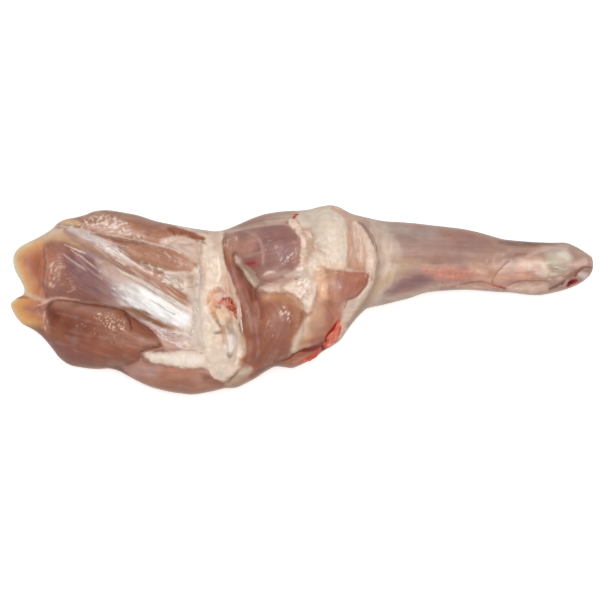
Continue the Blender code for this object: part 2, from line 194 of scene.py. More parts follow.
# the cord of fascia along the blade, the silver band and the muscles above them
fasciaTissues = [
    area("#BF9C8D", 2, (-140, 46), (-128, 44), (-112, 39), (-96, 36), (-84, 31), (-66, 20), (-58, 8),
        (-62, -12), (-72, -24), (-92, -14), (-106, -7), (-110, 4), (-116, 14), (-120, 25), (-132, 33),
        (-146, 41), lie=-36),
    band("#CDBDB8", 2.4, 1, (-142, 43, 1.2), (-133, 40.5, 2.4), (-125, 37, 2.8), (-117, 32, 2.4),
        (-110, 27, 1.6), (-103, 22, 1), kind=silver),
    band("#EEDCD5", 1.6, 0.85, (-122, 34.5, 0.6), (-114, 30.5, 1.4), (-107, 26.5, 1.1), (-100, 21.5, 0.7),
        (-93, 17, 0.4), kind=silver, lift=0.3),
    band("#A88572", 1.8, 0.65, (-120, 28.5, 0.8), (-110, 21.9, 1), (-101, 15.5, 1), (-92, 9, 0.9),
        (-82, 2, 0.8)),
    band("#C8B1A6", 4, 0.85, (-121, 23, 1.4), (-115, 20, 2.2), (-109, 16.4, 1.4)),
    band("#E5CBBD", 1.2, 1, (-112, 24.5, 0.5), (-103, 19, 0.8), (-94, 13.5, 0.8), (-86, 8.5, 0.5), lift=0.2),
    band("#B3907F", 3, 0.9, (-108, 19.4, 1), (-101, 15.4, 2), (-95, 13, 1)),
    band("#D2B7AB", 3, 0.85, (-122, 36.4, 1.4), (-115, 34.8, 2.2), (-109, 33.6, 1.2)),
    area("#ECE8E6", 4, (-123, 22), (-115, 17.5), (-106, 13), (-98, 8.5), (-90, 4), (-82, -1), (-74, -5.5),
        (-66, -9.5), (-61, -16), (-70, -18), (-79, -14.8), (-88, -10.4), (-97, -6), (-106, -3.5), (-113, -2),
        (-117, 4), kind=silver, lie=-33, fray=0.8, fade=((-120, 12), (-99, 1))),
    band("#98756F", 9, 0.9, (-122, 13, 3), (-118, 6, 4), (-115, -1, 4), lie=-33),
    band("#C1ACAA", 7, 0.85, (-112, 12, 2.8), (-108, 4, 2.6), (-106, -1, 1.2), kind=silver),
    band("#D3CCCB", 6, 0.8, (-103, 7, 2), (-100, 0, 2.6), kind=silver),
    band("#FBF8F5", 4, 1, (-96, 3, 1.8), (-87, -2, 4), (-77, -7.6, 4.2), (-69, -11.6, 3), kind=silver),
    band("#A87A64", 1.8, 1, (-106, 20.6, 1), (-100, 17, 1.7), (-92, 13.2, 1.8), (-84, 9.4, 2), (-76, 4.8, 1.9),
        (-70, 0.4, 1.6), (-67, -2.8, 0.8)),
    band("#FBF4EE", 2, 0.85, (-87, 3.4, 1), (-81, -0.4, 2.4), (-76, -3.4, 2.4), (-71, -7, 1), kind=silver),
    band("#F0E0D5", 0.9, 0.85, (-112, 19.5, 0.4), (-102, 13.8, 0.9), (-92, 8.2, 1), (-82, 2.8, 1),
        (-72, -3.4, 0.9), (-65, -8, 0.6), kind=silver, lift=0.3),
    band("#9A745A", 2.6, 1, (-107, -5, 1), (-98, -8.2, 2.3), (-90, -12, 2.6), (-83, -15.8, 1.4),
        (-77, -18.2, 0.4)),
    area("#CFB0A9", 2.2, (-99, -11.5), (-94, -12.5), (-88, -15.5), (-80, -18.5), (-70, -20), (-62, -24),
        (-63, -31), (-78, -31.5), (-83, -29), (-84.4, -25), (-87.6, -20.6), (-96, -14.4), lie=-24),
    band("#E6D5CB", 4, 0.9, (-78, -20, 1.2), (-71, -21.5, 2.6), (-66, -24, 3)),
    band("#C4A094", 3, 0.7, (-89, -21, 1), (-83, -26, 1.4), (-75, -28, 1.4)),
    # the muscle along the far edge
    area("#B0816C", 1.4, (-152, 44.5), (-142, 44.5), (-131, 43), (-122, 40.3), (-112, 38.2), (-100, 36),
        (-88, 34), (-80, 33), (-74, 38), (-66, 36.5), (-58, 34.5), (-55, 40), (-50, 48), (-90, 60), (-130, 62),
        (-158, 54), lift=0.5, lie=-9),
    band("#D0AD8A", 3, 1, (-151, 48.3, 2), (-144, 48, 2.6), (-137, 47, 2), kind=gristle),
    band("#A4725C", 1.8, 0.6, (-124, 40.2, 0.6), (-112, 38.8, 0.8), (-98, 37.4, 1), (-88, 37, 1)),
    # the next two bands: painted highlight, the pale ground under the far-edge muscle's glints
    band("#CDAB9A", 5, 0.5, (-127, 47, 2.4), (-118, 47.4, 3.4), (-110, 46.4, 3)),
    band("#D0AE9F", 3.6, 0.85, (-134, 43.6, 1.2), (-124, 43, 2.6), (-114, 42.6, 3.2), (-105, 41.4, 2),
        (-96, 39.6, 1)),
    band("#A66F58", 3, 0.6, (-104, 47, 2), (-92, 43.5, 2), (-84, 41.6, 1.4)),
    # painted shade along the far outline
    band("#8F6952", 2, 0.75, (-122, 54.5, 0.7), (-106, 52.5, 1), (-90, 48.6, 1.2), (-78, 46.3, 1)),
    band("#94543A", 1.8, 0.95, (-80, 43, 1.8), (-72, 41.8, 3.2), (-65, 38.6, 1.8), (-58, 36.4, 1)),
    band("#E6C9B6", 1.2, 1, (-75, 45.2, 0.8), (-68, 43.6, 1.2), (-60, 40.2, 1.2), (-56, 37.8, 0.8), lift=0.3),
    band("#CBB7A2", 1.8, 1, (-66, 45.2, 1), (-58, 43, 1.8), (-50, 42, 1.6), kind=fat),
    # the lens muscle and the pale fascia round its end
    area("#B0826C", 2.4, (-114, 36.5), (-104, 35), (-92, 32.8), (-80, 31.3), (-72, 28), (-65.6, 24.4),
        (-63, 20), (-66, 16.8), (-75, 17.6), (-85, 20), (-95, 22.5), (-103, 25.5), (-110, 31), lift=0.5,
        lie=-20),
    band("#C7A08B", 3, 0.75, (-110, 31.6, 0.8), (-104, 29.4, 1.6), (-98, 27, 1.2)),
    band("#A9775F", 3, 0.6, (-98, 31, 1.5), (-88, 29, 2), (-76, 25, 2)),
    area("#D6BCAE", 3, (-86, 35.6), (-80, 38.2), (-73, 38.8), (-65, 36.2), (-57, 34.4), (-54, 28), (-58, 22),
        (-66, 23), (-71, 27.6), (-77, 31), (-82, 33), kind=fat, fray=1.2),
    area("#E2D0C3", 2, (-83, 16.5), (-78, 17), (-72, 16.4), (-66.5, 16), (-62, 22), (-56, 24), (-55, 2),
        (-62, -6), (-66, -2.5), (-69, 2), (-74, 7.5), (-81, 12), kind=fat, lift=0.4, fray=1.2),
    band("#B98573", 1.4, 0.9, (-91, 13.5, 0.6), (-86, 16, 0.9), (-82.5, 13.5, 0.9), (-85, 10.5, 0.6)),
]
# the dark muscle below the blade and the belly under it
flapTissues = [
    area("#925F50", 0.9, (-190, 3), (-172, 3.2), (-165, 0), (-158, -2.6), (-153, 0), (-149, 1.3), (-142, 0.6),
        (-134, -1), (-125, -3), (-116, -4.6), (-108.5, -6.2), (-105, -9.5), (-100, -12.6), (-95, -15.6),
        (-90, -19), (-86.4, -22.8), (-84.5, -27), (-90, -28.6), (-96, -30.4), (-98, -34), (-99, -37.5),
        (-105, -39.8), (-112, -42), (-118, -50), (-160, -50), (-190, -20), lift=1.1, lie=-14, fray=0.4),
    band("#A97E6D", 4, 0.75, (-150, -2, 2), (-138, -3.5, 3), (-124, -6, 3), (-113, -9, 2)),
    band("#7F4B3F", 9, 0.8, (-150, -14, 6), (-138, -17, 6), (-128, -20, 5)),
    band("#8B5B57", 7, 0.75, (-152, -28, 4), (-142, -32, 4), (-130, -36, 4)),
    band("#97604F", 6, 0.8, (-122, -31, 4), (-108, -30, 4), (-101, -28, 3)),
    band("#92604F", 5, 0.85, (-118, -21, 3.4), (-110, -22, 4), (-100, -22, 4), (-91, -25, 2)),
    band("#B98270", 5, 0.8, (-159, -5, 1.4), (-158, -12, 2), (-155.5, -19, 1.4)),
    band("#733F30", 3.5, 0.85, (-155, -5, 1.2), (-153, -7.5, 2), (-149, -11, 2)),
    area("#AE7C6A", 1.4, (-113, -41.8), (-105, -40.2), (-96, -38.4), (-84, -39.8), (-73, -41), (-66, -41.6),
        (-64.5, -43.5), (-61, -42.5), (-57, -44.5), (-53, -48.3), (-48, -50.3), (-44, -50), (-40, -52),
        (-38, -60), (-80, -66), (-120, -52), lift=0.3, lie=-4),
    band("#BB958C", 6, 0.9, (-108, -43.8, 3), (-99, -43, 3.5), (-90, -43.5, 3)),
    band("#A26F5B", 6, 0.6, (-78, -53, 4), (-68, -52, 3)),
    band("#B98B79", 5, 0.8, (-64, -48, 2), (-58, -49, 2)),
    # painted shade along the near outline under the belly
    band("#6E3C2A", 4, 0.9, (-122, -42.6, 1.4), (-114, -43, 2.6), (-107, -46.4, 1.2)),
    band("#946552", 3, 0.8, (-57, -48, 2.5), (-48, -52, 2)),
    area("#B99C89", 4, (-45, -51), (-41, -46), (-37, -42), (-31, -40), (-28, -42), (-31, -45.4), (-36, -48.6),
        (-42, -52.6), kind=silver, fray=1),
    band("#CFBAA8", 3, 0.9, (-38, -45, 0.8), (-33.6, -43.4, 1.5), (-30.4, -42, 0.6), kind=silver),
]
# the band of fat across the joint
fatTissues = [
    area("#E3CFBE", 2, (-58, 37), (-55, 41), (-49, 47), (-47, 38), (-46.5, 30), (-46, 24), (-43.5, 17),
        (-41, 10.5), (-39.5, 5), (-38, -1), (-36.8, -9), (-36, -15), (-35.5, -21), (-33.5, -26), (-33, -31),
        (-35, -36), (-36.2, -39.8), (-39.6, -43.6), (-47, -49.3), (-52, -47.5), (-56, -43), (-60, -41),
        (-66, -41.5), (-74, -40.5), (-85, -39.3), (-91, -38), (-93.4, -35.4), (-95.4, -31.8), (-88, -31.5),
        (-78, -31), (-70, -28), (-66, -18), (-62, -8), (-61, 2), (-58, 9), (-57.5, 15), (-59, 21), (-60, 28),
        kind=fat, lift=0.6, fray=1.1),
    band("#EEE2D7", 4, 1, (-90, -34.5, 1.5), (-78, -35.5, 2.5), (-62, -36, 3), kind=fat),
    band("#E6D9C0", 6, 0.6, (-56, -20, 3), (-56, -34, 3), kind=fat),
    band("#D5AD97", 5, 0.75, (-44.6, 18, 1), (-44.6, 11, 1.8), (-44.8, 5, 1.6)),
    band("#E2CCBA", 3, 0.85, (-68.4, 31, 1.4), (-66.2, 28.6, 2.2), (-65.4, 26, 1)),
    band("#C69F89", 4, 0.75, (-66, 22, 2), (-66.6, 16, 1.6), (-66, 11, 1)),
    band("#CFB4A4", 4, 0.8, (-55, 43, 1.5), (-52, 38, 2.6), (-51, 32, 2)),
    band("#E9DBCE", 5, 0.85, (-67, -22, 3.6), (-64, -10, 3.4), (-64, 1, 3.4), (-62, 8, 2.4), kind=fat),
    band("#EEE0D2", 6, 0.7, (-59, 2, 1.6), (-58.6, -12, 3), (-58, -26, 3), kind=fat),
    band("#CDAD9B", 3, 0.75, (-61.4, 21, 1.2), (-59, 14, 1.8), (-59.6, 8, 1)),
    band("#D9C4AC", 5, 0.6, (-54, -10, 2), (-54, -18, 2.6), (-52, -25, 2), kind=fat),
    band("#D9C2AC", 4, 0.6, (-50, 34, 2), (-49, 27, 2), kind=fat),
    band("#DCCCBB", 4, 0.7, (-46, -38, 3), (-48, -45, 2.5), kind=fat),
]
# the arm's two domes, the fat between and beside them, the elbow and the collar
armTissues = [
    area("#9C6556", 1, (-47.5, 37), (-43, 36), (-41, 29), (-38, 22.5), (-34, 15.5), (-29, 8), (-24, 4.8),
        (-14, 5), (-6, 3.5), (-0.5, 0), (1.5, -6), (1, -13), (-3, -21), (-6, -29), (-9, -35), (-12, -45),
        (-24, -50), (-31.8, -46.6), (-28.8, -43), (-29.8, -40.2), (-36, -36.5), (-32.5, -32), (-33.6, -26),
        (-37, -17.6), (-36.6, -8), (-38.6, 0), (-41, 10.5), (-43.5, 17), (-46, 24), (-46.5, 31), lift=0.2),
    band("#AF7F68", 4, 0.85, (-45.6, 34, 1.4), (-43.6, 29, 2.2), (-41.6, 24, 1.6)),
    band("#864E3F", 6, 0.85, (-35.5, 6, 1.6), (-32, -6, 3.4), (-31.5, -15, 3.4), (-29.5, -21, 3)),
    band("#AF7F6B", 4, 0.8, (-31.5, -26, 1.6), (-32, -31, 1.6)),
    band("#BE8E6E", 6, 0.85, (-21, 1, 2.4), (-11, 1.5, 3), (-4, -1.5, 2.6), (-1, -8, 1.6), (-2, -15, 1.2),
        lie=0),
    band("#D8B299", 3, 0.9, (-8, 3.4, 0.8), (-3, 0.8, 1.8), (0.5, -4.5, 1.6)),
    band("#9F6E61", 8, 1, (-16, -9, 5), (-15, -18, 5)),
    band("#8D5C4F", 6, 0.8, (-26, -34, 4), (-16, -34, 5)),
    band("#84543F", 3, 0.8, (-27, -44, 1), (-22, -42.4, 1.6), (-15, -40.6, 1.2)),
    band("#A76F56", 4, 0.7, (-6, -18, 2), (-8, -27, 2)),
    area("#AC9082", 2, (-50, 43), (-44, 40), (-36, 43), (-24, 45), (-14, 46), (-8, 47.5), (0, 56), (-30, 60),
        (-56, 50), lie=15),
    band("#A57A6A", 3, 0.7, (-38, 46.4, 1), (-27, 49, 1.4), (-18, 52, 1)),
    band("#CBB0A3", 4, 0.85, (-20, 48, 1), (-12, 49.4, 2), (-6, 50, 1.8)),
    band("#CBAF9E", 3, 0.85, (-50, 42.5, 1.4), (-44, 42, 1.8), (-39, 43, 1.2)),
    area("#987069", 1.2, (-46, 38.5), (-42, 41), (-34, 43.3), (-24, 45), (-14, 46), (-9, 45), (-5.4, 42),
        (-2, 38), (-1.2, 32), (-1.4, 26), (-1.8, 20), (-3.6, 16), (-8, 13.3), (-14, 10.8), (-22, 8.5), (-27, 8),
        (-30.5, 11.5), (-34, 17), (-38, 24), (-41, 31), (-44, 35), lift=0.3, lie=15),
    band("#B28678", 6, 1, (-42, 38, 3), (-38.6, 31, 4.4), (-31, 33, 4), (-27, 40, 2)),
    band("#93696A", 7, 0.75, (-17, 37, 5), (-9, 33, 4), (-9, 27, 4)),
    band("#A67F70", 4, 0.6, (-5, 24, 1.4), (-4, 19, 1.4)),
    # painted light: a pale band lifting the shade of the dome's steep lower slope
    band("#C5A498", 4, 0.75, (-33, 12.5, 1.4), (-25, 11.5, 2.4), (-16, 13.4, 2.4), (-8, 16, 2)),
    band("#CBAC9C", 3, 1, (-38.6, 26, 1), (-35, 20.5, 1.8), (-31, 15, 2.6), (-27.4, 10, 1.6)),
    area("#E1CCBC", 1.8, (-24, 7.6), (-16, 8.6), (-8, 11), (-4, 14.2), (-1, 18), (-0.8, 26), (0, 33),
        (-1.4, 39), (-5.4, 44), (-8, 48), (-3, 49), (3, 44), (8, 38), (8, 30), (7, 24), (12, 18), (10, 10),
        (7, 2), (5, -5), (3, -8), (1.5, -2), (-4, 3.2), (-12, 5), (-20, 5), kind=fat, lift=0.3, fray=1.2),
    band("#DDBDB2", 1.8, 0.9, (-24, 7.8, 1), (-14, 9.4, 2), (-5, 13, 1.6)),
    band("#F0DFD1", 3.4, 1, (8, 17, 1.6), (5, 9, 3), (4, 2, 3), (3.8, -5, 1.8), kind=fat),
    band("#E6CDBF", 2.4, 0.8, (-9, 14.2, 1), (-4, 16, 1.6), (-1, 20, 1.2), kind=fat),
    area("#DBCBBB", 2.4, (-3, 50), (2, 60), (16, 64), (24, 56), (27.5, 50), (28.3, 44), (28.2, 36), (27.6, 28),
        (27.5, 21), (31, 17.8), (24, 18.7), (16, 18.9), (9, 20.8), (6.5, 25), (6, 31), (6, 38), (2, 44),
        kind=fat, lift=0.7, fray=0.5),
    band("#C8BAAC", 7, 0.8, (3, 52, 3), (7, 44, 3), (10, 34, 2), kind=fat),
    band("#C3A592", 4, 0.9, (3.6, 41, 2), (3.4, 32, 3.6), (3, 25, 3)),
    band("#C4B29F", 4, 0.7, (8, 56, 1.5), (18, 57, 1.8), (24, 54, 1.4)),
    band("#E4D5C5", 7, 0.8, (20, 46, 4), (20, 30, 4), kind=fat),
    band("#C4AC9B", 5, 0.75, (7.6, 38, 1.6), (9.6, 34, 3), (10.6, 30, 1.4)),
    band("#EBD0B6", 3, 0.85, (11, 21.5, 1.4), (18, 20.8, 1.6), (25, 20.8, 1.6), (30, 18.6, 0.8), kind=fat),
    area("#C6A695", 2.4, (27.5, 56), (27, 50), (28.3, 44), (28.2, 36), (27.6, 28), (27.5, 21), (31, 17.8),
        (40.5, 16.5), (44, 10), (42, 2), (50, -4), (60, 20), (60, 60), (34, 60)),
    band("#CFA590", 2.2, 1, (18, 56, 1), (23, 53, 1.6), (27.5, 49, 1.8), (29, 43, 1.4), (29.2, 36, 1.3),
        (30, 28, 1.6), (34, 20.5, 1.8), (38, 17.3, 1)),
    band("#E6C1AB", 3, 0.85, (30.4, 31, 0.6), (31, 26, 1.6), (32.4, 20.8, 1.8)),
    area("#DDC4B4", 2, (31.5, 47), (36, 45), (40, 41), (43.3, 36), (45, 29), (45, 22), (43, 15), (40.5, 16),
        (38, 18.5), (34.6, 23), (32, 30), (31.6, 38), kind=fat, lift=0.8),
    # elbow side
    area("#C8A287", 4, (9, 2), (13, 5), (16, 0), (15, -14), (11, -26), (3, -29), (-4, -32), (-5, -24), (0, -18),
        (5, -8), kind=gristle),
    area("#B67D6A", 1, (8, 18), (16, 18), (24, 17.4), (32, 16.4), (40.3, 15.8), (39.2, 10), (36.5, 6),
        (32, 2.2), (28, 0.6), (26, -3), (25, -7), (22.4, -12), (19, -16.6), (15.6, -22), (12, -27), (6, -28),
        (6, -18), (6, -8), (6, 2), (6, 10), lift=0.4, lie=80, fade=((10, 2), (23, -3))),
    band("#E3B899", 5, 0.95, (12, 17, 1.8), (12, 10, 3.4), (13, 3, 2.6)),
    band("#F0CDB4", 4, 0.9, (11.4, 17.4, 2), (11, 14, 2.6)),
    band("#CFA488", 6, 0.6, (12.5, -6, 2), (11.5, -14, 2.4)),
    band("#D3A78B", 4, 0.75, (18, 16, 1.6), (18, 11, 1.6)),
    band("#BE8B74", 5, 0.5, (20, 6, 2), (20.5, -4, 2.4)),
    band("#AC6F59", 4, 0.8, (19, -10, 1.6), (16, -18, 1.8)),
    band("#DDB39F", 3, 0.9, (25.8, -2, 0.8), (25.8, -8, 1.8), (25.8, -13, 2.2), (26.2, -18, 1.6)),
    band("#A56A56", 4, 0.75, (0, -26.4, 1.2), (6, -25, 1.8), (12, -24, 1.8)),
    band("#DFC6B2", 3.5, 0.85, (5, -11, 1), (2, -17, 1.6), (-2, -23, 2), (-4.5, -30, 1.6), kind=fat),
    band("#CA9C7F", 3.5, 0.6, (18, 16.5, 1.2), (25, 16, 1.2)),
    band("#A36A59", 4, 0.75, (34, 14.4, 1.6), (37, 11.6, 2), (34.4, 8, 1.8)),
    area("#A66853", 1.2, (-11, -38), (-5, -33.5), (1, -30), (8, -27.8), (15, -26), (20, -30), (6, -46),
        (-14, -46)),
    band("#C58F76", 2.5, 0.6, (-4, -38.5, 1), (4, -35, 1.4), (10, -31, 1)),
    area("#DCC3B2", 1.2, (27.5, 0), (33, 1.8), (37, 5.5), (40, 10), (43.5, 12), (43, 4), (41, -1), (40, -8),
        (30, -22), (24, -24), (23, -19), (24.8, -12), (25.8, -6), kind=silver, lift=0.5),
    band("#A98B78", 3.4, 0.9, (42.8, 6, 1), (40, -1, 3), (35, -7.6, 2.8), (29, -16, 1.8)),
]
# shank and knuckle
shankTissues = [
    area("#AB8B81", 3, (45, 60), (46, 40), (47, 30), (47, 20), (45, 10), (43, 2), (42, -10), (60, -10),
        (200, -10), (200, 60), lie=-3),
    band("#B09E95", 8, 1, (48, 46, 3), (58, 43, 4), (70, 40, 3), (80, 42, 2)),
    band("#A8938B", 7, 0.7, (64, 36, 3), (76, 37, 3), (88, 36, 2)),
    band("#A5817A", 9, 0.7, (84, 30, 4), (95, 32, 4)),
    band("#B69588", 6, 0.8, (100, 27, 2), (110, 27.5, 2.4), (118, 28, 2)),
    band("#A67B70", 7, 1, (90, 40, 2.4), (104, 38, 2.4), (114, 36, 2)),
    area("#CBB7A9", 7, (36, 52), (44, 52), (51, 46), (56, 38), (58, 29), (58, 18), (54, 6), (47, -4), (42, -4),
        (45, 8), (46.5, 20), (46, 32), (41, 44), lie=80),
    band("#D8C2B2", 6, 1, (47, 38, 1.4), (49, 31, 2.2), (50, 22, 3), (48, 11, 2.4)),
    band("#CDB9AD", 6, 0.7, (56, 34, 1.4), (58, 28, 2), (58, 20, 1.4)),
    band("#BFA58D", 6, 0.85, (56, 22, 2), (66, 22.5, 2), (77, 21, 1)),
    band("#C3A78C", 7, 0.9, (46, 8, 3), (54, 14, 3.5), (64, 18.5, 1.8)),
    band("#C0A999", 5, 0.9, (44, -2, 2), (54, 0, 2), (66, 3.5, 2), (76, 6.5, 2), (84, 7.4, 1.6)),
    band("#8F6F72", 5, 0.92, (52, 3.5, 0.6), (58, 7, 2.2), (65, 10, 3.2), (72, 12.2, 3), (80, 13.5, 1.4)),
    band("#AE8B85", 5, 0.6, (64, 15.5, 1.2), (74, 18, 1.4)),
    band("#CB9080", 7, 0.9, (76, 18.4, 2), (87, 16.5, 3.4), (97, 16.5, 3.4), (108, 17, 2.4)),
    band("#C98472", 5, 0.5, (82, 15, 1), (88, 19, 1.4), (94, 15.5, 2), (102, 17, 1.6)),
    band("#D0A896", 5, 0.85, (86, 9.4, 1.2), (98, 9, 1.6), (112, 8.4, 2)),
    band("#DFBAA7", 5, 0.9, (105, 18.5, 1.4), (111, 17.6, 2)),
    band("#CFA692", 5, 0.8, (100, 23.4, 1.2), (110, 22.6, 2), (119, 22, 1.6)),
    band("#D3A590", 5, 1, (107, 14, 1.6), (120, 14, 2.4), (132, 13.6, 2), (144, 14, 1.6)),
    band("#E6C7B8", 7, 1, (122, 20.4, 2), (132, 21, 3.4), (143, 22, 3.4)),
    band("#D59D90", 4, 0.8, (131, 8, 1.6), (120, 8.6, 2), (113, 8, 1.4)),
    band("#D9BBAA", 5, 1, (130, 7, 1.4), (139, 7.2, 2.4), (149, 8, 2)),
    # the next two bands: painted shade along the shank's far outline
    band("#886B61", 4, 0.95, (122, 35.5, 1), (134, 35, 2), (160, 34.4, 1.4)),
    band("#5A433B", 4, 0.9, (138, 36, 1.4), (148, 35.6, 2.5), (156, 35.4, 1.8)),
    band("#DFC3B2", 3, 0.85, (143, 17.6, 1), (147, 17, 2.4), (151, 15.8, 1.4)),
    band("#DBB3A1", 4, 0.8, (115, 20.4, 1.4), (124, 18.8, 2), (134, 17.4, 2)),
    band("#C7A698", 4, 0.6, (118, 27.5, 1), (124, 28, 1.4), (127, 31, 1)),
    band("#CBAC9F", 5, 1, (138, 27.5, 1.4), (150, 31, 1.4), (163, 32, 1.4)),
    area("#C7B8A6", 4.5, (148.5, 28.6), (157, 30), (163.6, 29), (166, 25), (163.6, 21.6), (157, 20.4),
        (151, 21.2), (148, 24.4), kind=gristle, fray=0.3, lift=0.4),
    band("#B5A590", 5, 0.7, (149.5, 26.4, 1), (151, 22.5, 1.2), kind=gristle),
    band("#E0D8D0", 4, 0.85, (157, 28, 1), (161, 27.4, 1.6), (163, 25, 1), kind=gristle),
    band("#E8D8C4", 4, 0.9, (145.4, 22.6, 1), (148, 20.6, 2), (151, 17.6, 1.4), kind=gristle, lift=0.5),
    band("#D0BBAA", 4, 0.85, (148, 15, 1.8), (154, 15.4, 2), (160, 15.4, 2), (165, 17.4, 1), kind=gristle),
    band("#BDA28C", 4, 0.85, (167, 30.6, 1.6), (174, 27.6, 1.6)),
    band("#CC9A90", 3, 0.8, (177.6, 26.4, 1), (178.4, 22.4, 1.2)),
    band("#DCBDB0", 4, 0.85, (164, 21.4, 1.6), (169, 22, 2), (174, 23.4, 2)),
    band("#D3BDAD", 4, 0.7, (155, 20, 1.4), (161, 19.6, 1.2)),
    band("#BE9A83", 3.5, 0.7, (151, 5.4, 1.2), (160, 6.6, 1.2), (167, 9, 1)),
    band("#D5BEB8", 2.4, 1, (171.8, 15.6, 1.8), (174.6, 15, 2), kind=gristle, lift=0.9),
]
